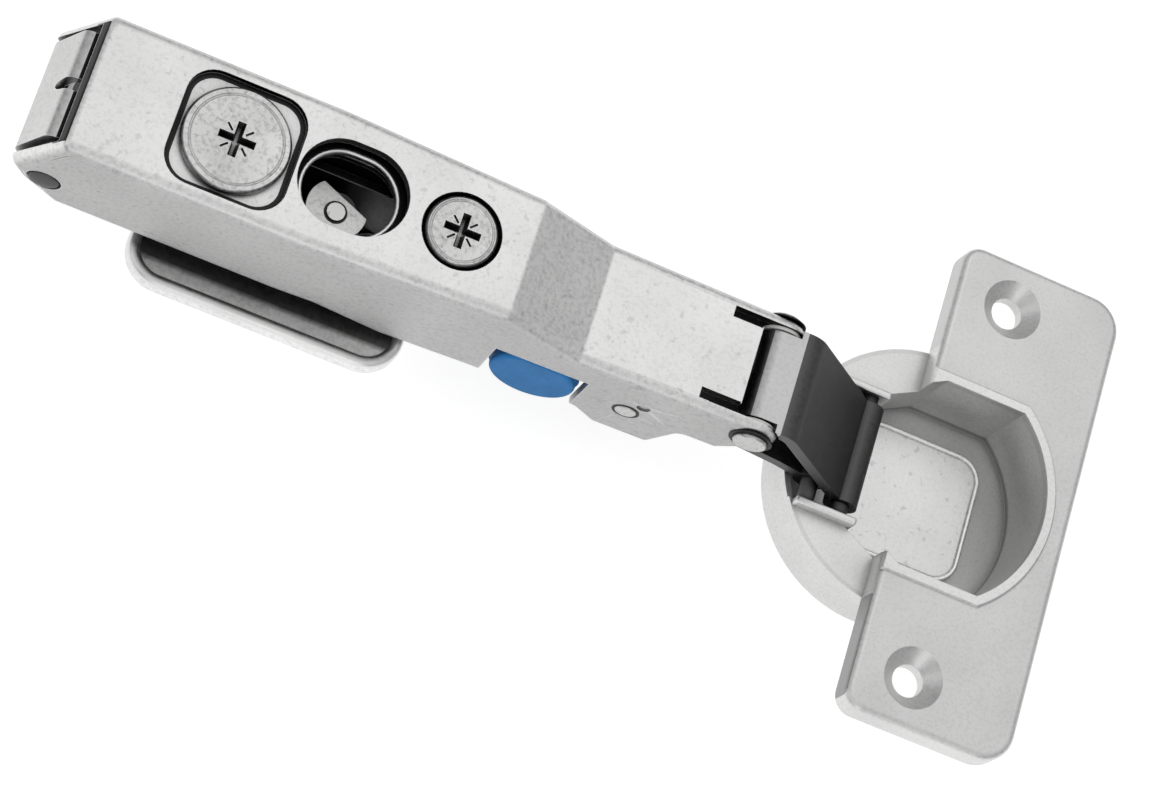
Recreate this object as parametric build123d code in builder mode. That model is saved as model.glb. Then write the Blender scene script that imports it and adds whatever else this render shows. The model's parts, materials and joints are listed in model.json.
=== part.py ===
"""Concealed cup hinge, clip-on and soft-close, for a 35 mm cup hole.

Millimetres.  The frame's origin lies on the cabinet side, under the middle of the
mounting plate: +X runs along the arm to the cup, +Y across it, +Z away from the
cabinet side.  The hinge stands fully open, with the cup's mouth facing up.
"""
from build123d import *
from math import cos, radians, sin
import os

os.makedirs("parts", exist_ok=True)

# ------------------------------------------------------------------ clearances
FACE_GAP = 0.1            # flat faces that slide on each other
SIDE_GAP = 0.3            # sides that pass each other
PIN_FIT = 0.05            # radial play of a pin that turns in its bore
PRESS_FIT = 0.02          # radial room of a pin that is riveted in
EDGE_BREAK = 0.3          # broken edges of pressed and turned pieces
HEAD_ROUNDING = 0.6       # rounding of a rivet head, as a share of its height

SCREW_CONE = 90.0         # countersinks, degrees

# ------------------------------------------------------------------ arm
ARM_TOP = 23.0            # height of the arm's flat top above the cabinet side
ARM_REAR = -30.0          # rear edge of the top
ARM_SHEET = 1.4
REAR_WIDTH = 18.8
STEP_WIDTH = 16.9
NOSE_WIDTH = 16.0
TAPER_START = 0.0         # the channel is parallel behind this point
STEP_START = 25.9
STEP_LENGTH = 10.6
STEP_DROP = 4.3
FOLD_RADIUS = 1.5         # outer radius of the long folds
STEP_RADIUS = 3.0         # bends at both ends of the step
EAR_REACH = 5.0           # how far the side walls stand out behind the top
EAR_HEIGHT = 13.0         # height of the ear's tip
EAR_HOLE_RADIUS = 2.2
WALL_FOOT = 6.4           # lower edge of the side walls along the adapter
WALL_FOOT_FRONT = 4.5     # the same beside the damper
LUG_FOOT = 8.4            # the same under the nose
KEEL_FOOT = 2.0           # the same under the rear link pin
KEEL_START = 43.0
KEEL_LENGTH = 8.0
TONGUE_HALF_WIDTH = 5.3   # tongue of the top, between the two nose lugs
TONGUE_GAP = 2.5          # from the front pin back to the end of the tongue
NOSE_SLOT_LENGTH = 4.6
DIMPLE_RADIUS = 0.9
DIMPLE_DEPTH = 0.3
LUG_END_ANGLE = -40.0     # where the nose's round ends and its foot starts
LUG_FOOT_INSET = 0.8      # slopes of the side outline, along the arm
KEEL_FRONT_SLOPE = 2.4
KEEL_REAR_SLOPE = 3.2
FRONT_FOOT_LEAD = 12.0    # foot of the walls before the step
REAR_FOOT_END = 5.0
EAR_FOOT_INSET = 1.6
EAR_UNDERCUT = 3.2
EAR_BACK_HEIGHT = 2.8
EAR_HOLE_BACK = 0.4
EAR_HOLE_DROP = 0.9
OUTLINE_RADIUS = 1.0

# ------------------------------------------------------------------ linkage
FRONT_PIN_X = 60.2        # pin of the outer link, in the nose
FRONT_PIN_Z = 15.7
REAR_PIN_X = 45.5         # pin of the inner link, behind the nose
REAR_PIN_Z = 9.85
LINK_PIN_RADIUS = 1.4
LINK_PIN_HEAD_RADIUS = 2.2
LINK_PIN_HEAD_HEIGHT = 0.6
CUP_PIN_RADIUS = 1.2
KNUCKLE_RADIUS = 2.6      # rolled eye of the outer link
EYE_RADIUS = 2.2          # eyes of both links in the cup
LINK_SHEET = 1.6
OUTER_LINK_HALF_WIDTH = 7.0
KNUCKLE_HALF_WIDTH = 5.9
INNER_LINK_HALF_WIDTH = 5.6
REAR_EYE_HALF_WIDTH = 2.6
REAR_EYE_WALL = 0.9
REAR_PIN_PLAY = 1.5       # play of the inner link's rear eye on its pin
OUTER_LINK_SHOULDER = 4.2 # flat run of the outer link in front of its knuckle
OUTER_LINK_BEND = 2.4
INNER_LINK_SHEET = 1.6
INNER_LINK_RUN = 5.2      # from the inner link's cup eye back to its bend
INNER_LINK_RISE = 1.6
INNER_LINK_BEND = 4.0
INNER_LINK_SHOULDER = 1.0
TAIL_REACH = 5.0          # tail behind the rear eye, that lifts the damper's paddle
TAIL_RADIUS = 1.1
WASHER_SHEET = 0.4
WASHER_RADIUS = 2.6

# ------------------------------------------------------------------ cup
CUP_X = 85.3              # centre of the cup at the level of the flange's top
CUP_Z = 7.7
CUP_TILT = 2.0            # degrees that the cup's mouth leans to the front
CUP_RADIUS = 17.5
CUP_DEPTH = 13.0          # from the flange's top to the cup's underside
CUP_WALL = 0.8
CUP_FLOOR = 0.9
OUTER_PIN_U = -8.62       # pins of the two links, from the cup's centre
OUTER_PIN_N = -3.8
INNER_PIN_U = -13.35
INNER_PIN_N = -3.52
POCKET_HALF_WIDTH = 12.9
POCKET_STRAIGHT_END = -0.5
NECK_START = -9.0
NECK_HALF_WIDTH = 8.4
NECK_SILL = -4.2          # depth of the dip in the wall on the arm's side
CUP_PIN_SEAT = 0.9        # how deep the pins sit in the neck's cheeks
FLANGE_SHEET = 3.7
FLANGE_BACK = -2.6        # edge of the flange on the arm's side
FLANGE_FRONT = 20.5
FLANGE_LENGTH = 65.2
FLANGE_FRONT_CORNER = 4.4
FLANGE_BACK_CORNER = 2.6
FLANGE_EDGE_RADIUS = 0.9
RIM_WIDTH = 1.4           # raised band round the pocket
RIM_HEIGHT = 0.5
RIM_SLOPE = 30.0          # degrees
CUP_FLOOR_RADIUS = 1.2
POCKET_CORNER = 2.0
CUP_SCREW_SPACING = 52.0
CUP_SCREW_U = 5.5         # row of screw holes in front of the cup's centre
CUP_SCREW_HOLE_RADIUS = 2.1
CUP_SCREW_HEAD_RADIUS = 4.0
CUP_PLATE_HALF_WIDTH = 8.9
CUP_PLATE_START = -6.8
CUP_PLATE_LENGTH = 17.8
CUP_PLATE_HEIGHT = 1.6
CUP_PLATE_CORNER = 3.4
CUP_PLATE_ROUNDING = 0.45 # of its upper edge, as a share of its height

# ------------------------------------------------------------------ mounting plate
PLATE_LENGTH = 36.0
PLATE_WIDTH = 25.4
PLATE_SHEET = 2.0
PLATE_CORNER = 5.0
PLATE_ROUNDING = 0.3      # of its upper edge, as a share of its sheet
PLATE_SCREW_SPACING = 21.0
PLATE_SCREW_HOLE_RADIUS = 2.1
PLATE_SCREW_HEAD_RADIUS = 3.7
RIVET_SPACING = 31.6
RIVET_RADIUS = 0.9
RIVET_HEAD_RADIUS = 1.6
RIVET_HEAD_HEIGHT = 0.6

# ------------------------------------------------------------------ saddle
SADDLE_SHEET = 1.1
SADDLE_HALF_WIDTH = 5.2
SADDLE_REAR = -18.5
SADDLE_FRONT = 19.4
SADDLE_TOP = 15.0
SADDLE_EAR_REACH = 2.0    # walls behind the rear pin
SADDLE_EAR_RISE = 2.6
SADDLE_EAR_DROP = 2.4
SADDLE_REAR_SLOPE = 4.0
SADDLE_REAR_FOOT = 3.0
SADDLE_FRONT_RISE = 3.2   # walls over the front hook
SADDLE_FRONT_SLOPE = 2.1
SADDLE_CORNER = 1.5
REAR_STUD_X = -18.2       # pin that the release lever hooks under
REAR_STUD_Z = 9.2
REAR_STUD_RADIUS = 1.3
HEIGHT_TRAVEL = 1.5       # each way across the arm
HEIGHT_CAM_X = 3.4
HEIGHT_CAM_OFFSET = 1.75
HEIGHT_CAM_DISC_RADIUS = 2.5
HEIGHT_CAM_STUB_RADIUS = 1.6
HEIGHT_CAM_POST_RADIUS = 2.3
HEIGHT_CAM_TOP = 14.2
HEIGHT_CAM_CROSS = 3.2    # length of its cross recess
HEIGHT_CAM_CROSS_WIDTH = 0.8

# ------------------------------------------------------------------ adapter
ADAPTER_SHEET = 1.2
ADAPTER_HALF_WIDTH = 6.6
ADAPTER_REAR = -28.6
ADAPTER_FRONT = 23.7
ADAPTER_WEB_REAR = -24.0
ADAPTER_FOOT = 4.7
ADAPTER_FRONT_RISE = 3.2
ADAPTER_FRONT_SLOPE = 4.0
ADAPTER_REAR_RISE = 5.0
ADAPTER_REAR_SLOPE = 4.4
ADAPTER_REAR_DROP = 3.0
DRIVER_SLOT_STRETCH = 2.4
SLIDE_SLOT_STRETCH = 1.6
SLIDE_CORNER = 2.0
CAM_SWEEP = 0.75          # share of a cam's offset that its slot is longer or shifted
HOOK_PIN_X = 16.8
HOOK_PIN_Z = 9.7
HOOK_PIN_RADIUS = 1.4
DEPTH_TRAVEL = 1.9        # each way along the arm
TILT_ROOM = 1.2           # between the arm's roof and the slide plate
SLIDE_SHEET = 1.2
SLIDE_REAR = -26.8
SLIDE_FRONT = 23.0

# ------------------------------------------------------------------ screws in the top
DEPTH_CAM_X = -11.5
DEPTH_CAM_HEAD_RADIUS = 6.7
DEPTH_CAM_NECK_RADIUS = 4.0
DEPTH_CAM_OFFSET = 2.2
DEPTH_CAM_DISC_RADIUS = 1.6
SEAT_RADIUS = 7.3
SEAT_DEPTH = 0.9
OPENING_RADIUS = 5.7      # round-ended opening over the height cam
OPENING_STRETCH = 2.5
SLIDE_OPENING_RADIUS = 5.2
SIDE_SCREW_X = 17.3
SIDE_SCREW_RADIUS = 4.5
SIDE_SCREW_GAP = 0.5
SIDE_SCREW_NECK_RADIUS = 1.7
SIDE_SCREW_FOOT_RADIUS = 2.5
SCREW_STAND = 0.15        # heads above the top
CROSS_REACH = 2.3         # cross recess, from its middle
CROSS_WIDTH = 1.0
CROSS_DEPTH = 1.4
CROSS_SLOPE = 12.0        # degrees
GUIDE_RIVET_X = -22.6
GUIDE_RIVET_HEAD_RADIUS = 1.3

# ------------------------------------------------------------------ release lever
LEVER_PIN_X = -26.3
LEVER_PIN_Z = 14.3
LEVER_PIN_RADIUS = 1.2
LEVER_SHEET = 1.3
LEVER_HALF_WIDTH = 7.2
LEVER_CHEEK_HALF_WIDTH = 3.85
LEVER_EYE_RADIUS = 2.5
LEVER_SLIT = 1.6
LEVER_SLIT_LENGTH = 8.0
LEVER_CHEEK_SHEET = 1.15
LEVER_LIP_RISE = 0.6      # lip of the lobes above the adapter's top
LEVER_LIP_LENGTH = 1.8
LEVER_BEND = 0.9
LEVER_HEEL_RUN = 1.4      # lower end of the plate, curled back under
LEVER_HEEL_DROP = 2.4
LEVER_FOOT_RUN = 0.8
LEVER_FOOT_DROP = 4.6
LEVER_HOOK_SHEET = 1.8    # hooks under the rear stud
LEVER_HOOK_REACH = 1.4
LEVER_HOOK_ROOT = 2.8
LEVER_HOOK_HEEL = 6.0
SPRING_WIRE = 0.7
LEVER_SPRING_RADIUS = 1.8
LEVER_SPRING_TURNS = 4.25
LEVER_SPRING_HEEL = 2.0   # from the lever's plate to the end of the rear leg
LEVER_SPRING_TOE = 0.8    # the front leg under the adapter's web
LEG_SLIMMING = 0.98       # a spring's legs against its coil

# ------------------------------------------------------------------ damper
DAMPER_X = 33.3
DAMPER_Z = 8.4
DAMPER_RADIUS = 5.8
DAMPER_AXLE_RADIUS = 1.4
DAMPER_WINDOW_TOP = 13.6
DAMPER_WINDOW_HALF_LENGTH = 6.1
DAMPER_WINDOW_CORNER = 2.0
DAMPER_EDGE_RADIUS = 0.6
ROTOR_RADIUS = 2.5
PADDLE_LENGTH = 9.0
PADDLE_ANGLE = 29.0       # above the level, with the door open
PADDLE_THICKNESS = 1.6
PADDLE_HALF_WIDTH = 2.0
CLOSING_WIRE = 0.9
CLOSING_COIL_RADIUS = 2.1
CLOSING_COIL_TURNS = 2.75
CLOSING_TOE = 1.5         # the front legs over the inner link's full width
CLOSING_HEEL = 4.0        # the rear legs behind the pin, under the roof

# ------------------------------------------------------------------ worked-out levels
ROOF_UNDER = ARM_TOP - ARM_SHEET
STEP_END = STEP_START + STEP_LENGTH
NOSE_TOP = ARM_TOP - STEP_DROP
NOSE_UNDER = NOSE_TOP - ARM_SHEET
LUG_RADIUS = NOSE_TOP - FRONT_PIN_Z
SEAT_FLOOR = ARM_TOP - SEAT_DEPTH
SEAT_UNDER = SEAT_FLOOR - ARM_SHEET
SLIDE_TOP = ROOF_UNDER - TILT_ROOM
SLIDE_UNDER = SLIDE_TOP - SLIDE_SHEET
WEB_TOP = SLIDE_UNDER - FACE_GAP
WEB_UNDER = WEB_TOP - ADAPTER_SHEET
SADDLE_UNDER = PLATE_SHEET + FACE_GAP
SADDLE_FLOOR_TOP = SADDLE_UNDER + SADDLE_SHEET
SADDLE_INNER = SADDLE_HALF_WIDTH - SADDLE_SHEET
ADAPTER_INNER = ADAPTER_HALF_WIDTH - ADAPTER_SHEET
NOSE_INNER = NOSE_WIDTH / 2 - ARM_SHEET
TONGUE_END = FRONT_PIN_X - TONGUE_GAP
POCKET_RADIUS = CUP_RADIUS - CUP_WALL
POCKET_FLOOR = CUP_FLOOR - CUP_DEPTH
REAR_EYE_BORE = LINK_PIN_RADIUS + REAR_PIN_PLAY
REAR_EYE_RADIUS = REAR_EYE_BORE + REAR_EYE_WALL
BEYOND = 60.0             # longer than anything that is cut through

TILT = radians(CUP_TILT)
CUP_PLANE = Plane(
    origin=(CUP_X, 0, CUP_Z),
    x_dir=(cos(TILT), 0, -sin(TILT)),
    z_dir=(sin(TILT), 0, cos(TILT)),
)


def cup_point(u, n):
    """(x, z) of a point given along the flange and above the flange's top."""
    return (CUP_X + u * cos(TILT) + n * sin(TILT), CUP_Z - u * sin(TILT) + n * cos(TILT))


OUTER_PIN_X, OUTER_PIN_Z = cup_point(OUTER_PIN_U, OUTER_PIN_N)
INNER_PIN_X, INNER_PIN_Z = cup_point(INNER_PIN_U, INNER_PIN_N)


def arm_half_width(x):
    """Outer half width of the arm at a place along it."""
    if x <= TAPER_START:
        return REAR_WIDTH / 2
    if x <= STEP_START:
        share = (x - TAPER_START) / (STEP_START - TAPER_START)
        return (REAR_WIDTH + (STEP_WIDTH - REAR_WIDTH) * share) / 2
    share = (x - STEP_START) / (FRONT_PIN_X - STEP_START)
    return (STEP_WIDTH + (NOSE_WIDTH - STEP_WIDTH) * share) / 2


def finish(part, label):
    """Label a finished piece and write its file."""
    part.label = label
    export_step(part, f"parts/{label}.step")


def cross_pin(x, z, radius, half_length, head_radius=0.0, head_height=0.0):
    """A pin across the hinge, with a low rivet head at each end where it has one."""
    with BuildPart() as pin:
        with BuildSketch(Plane.XZ):
            with Locations((x, z)):
                Circle(radius)
        extrude(amount=half_length, both=True)
        if head_height:
            for side in (-1, 1):
                start = Plane.XZ.offset(-side * half_length)
                with BuildSketch(start):
                    with Locations((x, z)):
                        Circle(head_radius)
                extrude(amount=-side * head_height)
            rims = pin.edges().filter_by(GeomType.CIRCLE).sort_by(Axis.Y)
            fillet([rims[0], rims[-1]], radius=head_height * HEAD_ROUNDING)
        else:
            ends = pin.edges().filter_by(GeomType.CIRCLE).sort_by(Axis.Y)
            chamfer([ends[0], ends[-1]], length=EDGE_BREAK / 2)
    return pin.part


def cross_recess(x, y, top):
    """The solid that a screwdriver's cross leaves in a screw's head."""
    with BuildPart() as cross:
        for turn in (0, 90):
            with BuildSketch(Plane.XY.offset(top)):
                with Locations((x, y)):
                    Rectangle(2 * CROSS_REACH, CROSS_WIDTH, rotation=turn)
            extrude(amount=-CROSS_DEPTH, taper=CROSS_SLOPE)
    return cross.part


# ------------------------------------------------------------------ hinge arm
# A channel folded from one sheet: the side outline and the top outline are each
# extruded and what both share is the block that the sheet wraps.
def side_outline():
    """Outline of the arm seen from the side, with ears, keel and nose."""
    lug_low = (
        FRONT_PIN_X + LUG_RADIUS * cos(radians(LUG_END_ANGLE)),
        FRONT_PIN_Z + LUG_RADIUS * sin(radians(LUG_END_ANGLE)),
    )
    nose_top = (FRONT_PIN_X, NOSE_TOP)
    keel_end = KEEL_START + KEEL_LENGTH
    ear_tip = (ARM_REAR - EAR_REACH, EAR_HEIGHT)
    with BuildSketch(Plane.XZ) as outline:
        with BuildLine():
            Polyline(
                (ARM_REAR, ARM_TOP), (STEP_START, ARM_TOP), (STEP_END, NOSE_TOP), nose_top
            )
            RadiusArc(nose_top, lug_low, LUG_RADIUS)
            Polyline(
                lug_low,
                (FRONT_PIN_X - LUG_RADIUS + LUG_FOOT_INSET, LUG_FOOT),
                (keel_end + KEEL_FRONT_SLOPE, LUG_FOOT),
                (keel_end, KEEL_FOOT),
                (KEEL_START, KEEL_FOOT),
                (KEEL_START - KEEL_REAR_SLOPE, WALL_FOOT_FRONT),
                (STEP_START - FRONT_FOOT_LEAD, WALL_FOOT_FRONT),
                (TAPER_START + REAR_FOOT_END, WALL_FOOT),
                (ARM_REAR + EAR_FOOT_INSET, WALL_FOOT),
                (ARM_REAR - EAR_UNDERCUT, EAR_HEIGHT - EAR_BACK_HEIGHT),
                ear_tip,
                (ARM_REAR, ARM_TOP),
            )
        make_face()
        bends = outline.vertices().filter_by(lambda v: v.Z > NOSE_TOP - 0.1)
        bends = bends.filter_by(lambda v: STEP_START - 1 < v.X < STEP_END + 1)
        fillet(bends, radius=STEP_RADIUS)
        feet = outline.vertices().filter_by(lambda v: v.Z < EAR_HEIGHT + 0.1)
        feet = feet.filter_by(lambda v: v.X < FRONT_PIN_X)
        fillet(feet, radius=OUTLINE_RADIUS)
    return outline.sketch


def top_outline(inset, rear, front):
    """Outline of the arm seen from above, drawn in by an inset."""
    with BuildSketch(Plane.XY) as outline:
        with BuildLine():
            Polyline(
                (rear, arm_half_width(rear) - inset),
                (TAPER_START, arm_half_width(TAPER_START) - inset),
                (STEP_START, arm_half_width(STEP_START) - inset),
                (front, arm_half_width(front) - inset),
                (front, 0),
                (rear, 0),
                close=True,
            )
        make_face()
        mirror(about=Plane.XZ)
    return outline.sketch


ARM_REAR_END = ARM_REAR - EAR_REACH - 1
ARM_FRONT_END = FRONT_PIN_X + LUG_RADIUS + 1

with BuildPart() as arm_core:
    with BuildSketch(Plane.XZ) as core_outline:
        with BuildLine():
            Polyline(
                (ARM_REAR_END, ROOF_UNDER),
                (STEP_START - ARM_SHEET / 4, ROOF_UNDER),
                (STEP_END - ARM_SHEET / 4, NOSE_UNDER),
                (ARM_FRONT_END, NOSE_UNDER),
                (ARM_FRONT_END, -BEYOND / 4),
                (ARM_REAR_END, -BEYOND / 4),
                close=True,
            )
        make_face()
    extrude(amount=REAR_WIDTH, both=True)
    extrude(top_outline(ARM_SHEET, ARM_REAR_END, ARM_FRONT_END), amount=BEYOND, both=True,
            mode=Mode.INTERSECT)

with BuildPart() as hinge_arm:
    extrude(side_outline(), amount=REAR_WIDTH, both=True)
    extrude(top_outline(0, ARM_REAR_END, ARM_FRONT_END), amount=BEYOND, both=True,
            mode=Mode.INTERSECT)
    folds = hinge_arm.faces().filter_by(lambda f: f.normal_at().Z > 0.5).edges()
    folds = folds.filter_by(lambda e: abs(e.center().Y) > NOSE_WIDTH / 2 - 1)
    folds = folds.filter_by(lambda e: e.center().X < FRONT_PIN_X)
    fillet(folds, radius=FOLD_RADIUS)
    add(arm_core.part, mode=Mode.SUBTRACT)
    # pressed seat of the depth cam
    with BuildSketch(Plane.XY.offset(SEAT_UNDER)):
        with Locations((DEPTH_CAM_X, 0)):
            Circle(SEAT_RADIUS + ARM_SHEET / 3)
    extrude(amount=SEAT_DEPTH + ARM_SHEET / 2)
    with BuildSketch(Plane.XY.offset(SEAT_FLOOR)):
        with Locations((DEPTH_CAM_X, 0)):
            Circle(SEAT_RADIUS)
    extrude(amount=BEYOND, mode=Mode.SUBTRACT)
    # openings in the top
    with BuildSketch(Plane.XY.offset(ROOF_UNDER - SEAT_DEPTH - 1)):
        with Locations((DEPTH_CAM_X, 0)):
            Circle(DEPTH_CAM_NECK_RADIUS + 2 * FACE_GAP)
        with Locations((HEIGHT_CAM_X, 0)):
            SlotCenterToCenter(OPENING_STRETCH, 2 * OPENING_RADIUS)
        with Locations((SIDE_SCREW_X, 0)):
            Circle(SIDE_SCREW_RADIUS + SIDE_SCREW_GAP)
    extrude(amount=BEYOND, mode=Mode.SUBTRACT)
    # the top ends in a tongue between the nose lugs
    with BuildSketch(Plane.XY.offset(FRONT_PIN_Z)):
        with BuildLine():
            Polyline(
                (TONGUE_END - NOSE_SLOT_LENGTH, TONGUE_HALF_WIDTH),
                (TONGUE_END, TONGUE_HALF_WIDTH),
                (TONGUE_END, 0),
                (ARM_FRONT_END, 0),
                (ARM_FRONT_END, NOSE_INNER),
                (TONGUE_END - NOSE_SLOT_LENGTH, NOSE_INNER),
                close=True,
            )
        make_face()
        mirror(about=Plane.XZ)
    extrude(amount=BEYOND, mode=Mode.SUBTRACT)
    # the damper's window, open at the foot of the near wall
    with BuildSketch(Plane.XZ.offset(DAMPER_RADIUS)) as window:
        with BuildLine():
            Polyline(
                (DAMPER_X - DAMPER_WINDOW_HALF_LENGTH, -BEYOND),
                (DAMPER_X - DAMPER_WINDOW_HALF_LENGTH, DAMPER_WINDOW_TOP),
                (DAMPER_X + DAMPER_WINDOW_HALF_LENGTH, DAMPER_WINDOW_TOP),
                (DAMPER_X + DAMPER_WINDOW_HALF_LENGTH, -BEYOND),
                close=True,
            )
        make_face()
        arch = window.vertices().filter_by(lambda v: v.Z > 0)
        fillet(arch, radius=DAMPER_WINDOW_CORNER)
    extrude(amount=BEYOND, mode=Mode.SUBTRACT)
    # pin holes, and the ears' round holes
    with BuildSketch(Plane.XZ):
        with Locations((FRONT_PIN_X, FRONT_PIN_Z), (REAR_PIN_X, REAR_PIN_Z)):
            Circle(LINK_PIN_RADIUS + PRESS_FIT)
        with Locations((ARM_REAR - EAR_HOLE_BACK, EAR_HEIGHT - EAR_HOLE_DROP)):
            Circle(EAR_HOLE_RADIUS)
    extrude(amount=BEYOND, both=True, mode=Mode.SUBTRACT)
    with BuildSketch(Plane.XZ):
        with Locations((DAMPER_X, DAMPER_Z)):
            Circle(DAMPER_AXLE_RADIUS + PRESS_FIT)
    extrude(amount=-BEYOND, mode=Mode.SUBTRACT)
    # small dimple pressed into the near wall over the keel
    with BuildSketch(Plane.XZ.offset(arm_half_width(KEEL_START) - DIMPLE_DEPTH)):
        with Locations((KEEL_START + KEEL_LENGTH / 2, DAMPER_WINDOW_TOP - 1)):
            Circle(DIMPLE_RADIUS)
    extrude(amount=BEYOND, mode=Mode.SUBTRACT)
finish(hinge_arm.part, "hinge_arm")

# ------------------------------------------------------------------ pins of the arm
finish(
    cross_pin(FRONT_PIN_X, FRONT_PIN_Z, LINK_PIN_RADIUS, NOSE_WIDTH / 2 + FACE_GAP,
              LINK_PIN_HEAD_RADIUS, LINK_PIN_HEAD_HEIGHT),
    "front_link_pin",
)
finish(
    cross_pin(REAR_PIN_X, REAR_PIN_Z, LINK_PIN_RADIUS, arm_half_width(REAR_PIN_X) - FACE_GAP),
    "rear_link_pin",
)

with BuildPart() as link_washers:
    for side in (-1, 1):
        inner_face = side * (NOSE_INNER - FACE_GAP / 2)
        with BuildSketch(Plane.XZ.offset(-inner_face)):
            with Locations((FRONT_PIN_X, FRONT_PIN_Z)):
                Circle(WASHER_RADIUS)
                Circle(LINK_PIN_RADIUS + PRESS_FIT, mode=Mode.SUBTRACT)
        extrude(amount=side * WASHER_SHEET)
finish(link_washers.part, "link_washers")

# ------------------------------------------------------------------ outer link
# A pressed plate: rolled knuckle on the front pin, flat shoulder, steep run into the
# cup, and an eye on the outer cup pin.
SHOULDER_Z = FRONT_PIN_Z + KNUCKLE_RADIUS - LINK_SHEET / 2
with BuildPart() as outer_link:
    with BuildSketch(Plane.XZ):
        with BuildLine():
            FilletPolyline(
                (FRONT_PIN_X, SHOULDER_Z),
                (FRONT_PIN_X + OUTER_LINK_SHOULDER, SHOULDER_Z),
                (OUTER_PIN_X, OUTER_PIN_Z),
                radius=OUTER_LINK_BEND,
            )
        trace(line_width=LINK_SHEET)
        with Locations((OUTER_PIN_X, OUTER_PIN_Z)):
            Circle(EYE_RADIUS)
    extrude(amount=OUTER_LINK_HALF_WIDTH, both=True)
    # narrow at the knuckle, so that it turns between the lugs
    for side in (-1, 1):
        with BuildSketch(Plane.XZ.offset(-side * KNUCKLE_HALF_WIDTH)):
            with Locations((FRONT_PIN_X, FRONT_PIN_Z)):
                Circle(LUG_RADIUS + SIDE_GAP)
        extrude(amount=-side * BEYOND, mode=Mode.SUBTRACT)
    with BuildSketch(Plane.XZ):
        with Locations((FRONT_PIN_X, FRONT_PIN_Z)):
            Circle(KNUCKLE_RADIUS)
    extrude(amount=KNUCKLE_HALF_WIDTH, both=True)
    with BuildSketch(Plane.XZ):
        with Locations((FRONT_PIN_X, FRONT_PIN_Z)):
            Circle(LINK_PIN_RADIUS + PIN_FIT)
        with Locations((OUTER_PIN_X, OUTER_PIN_Z)):
            Circle(CUP_PIN_RADIUS + PIN_FIT)
    extrude(amount=BEYOND, both=True, mode=Mode.SUBTRACT)
finish(outer_link.part, "outer_link")

# ------------------------------------------------------------------ inner link
# A bar with a short wide eye between the closing spring's coils and a full-width
# plate that ends in the eye on the inner cup pin.
INNER_LINK_NECK_X = REAR_PIN_X + REAR_EYE_RADIUS + REAR_PIN_PLAY + INNER_LINK_SHOULDER
BEND_X = INNER_PIN_X - INNER_LINK_RUN
BEND_Z = INNER_PIN_Z + INNER_LINK_RISE
LINK_FALL = (REAR_PIN_Z - BEND_Z) / (BEND_X - REAR_PIN_X)
with BuildPart() as inner_link:
    with BuildSketch(Plane.XZ):
        with BuildLine():
            FilletPolyline(
                (REAR_PIN_X, REAR_PIN_Z),
                (BEND_X, BEND_Z),
                (INNER_PIN_X, INNER_PIN_Z),
                radius=INNER_LINK_BEND,
            )
        trace(line_width=INNER_LINK_SHEET)
        with Locations((INNER_PIN_X, INNER_PIN_Z)):
            Circle(EYE_RADIUS)
    extrude(amount=INNER_LINK_HALF_WIDTH, both=True)
    for side in (-1, 1):
        with BuildSketch(Plane.XZ.offset(-side * REAR_EYE_HALF_WIDTH)):
            with BuildLine():
                Polyline(
                    (REAR_PIN_X - BEYOND, -BEYOND),
                    (INNER_LINK_NECK_X, -BEYOND),
                    (INNER_LINK_NECK_X, BEYOND),
                    (REAR_PIN_X - BEYOND, BEYOND),
                    close=True,
                )
            make_face()
        extrude(amount=-side * BEYOND, mode=Mode.SUBTRACT)
    with BuildSketch(Plane.XZ):
        with Locations((REAR_PIN_X, REAR_PIN_Z)):
            Circle(REAR_EYE_RADIUS)
        with Locations((REAR_PIN_X - TAIL_REACH / 2, REAR_PIN_Z)):
            SlotCenterToCenter(TAIL_REACH, 2 * TAIL_RADIUS)
    extrude(amount=REAR_EYE_HALF_WIDTH, both=True)
    with BuildSketch(Plane.XZ):
        with Locations((REAR_PIN_X, REAR_PIN_Z)):
            Circle(REAR_EYE_BORE)
        with Locations((INNER_PIN_X, INNER_PIN_Z)):
            Circle(CUP_PIN_RADIUS + PIN_FIT)
    extrude(amount=BEYOND, both=True, mode=Mode.SUBTRACT)
finish(inner_link.part, "inner_link")

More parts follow.
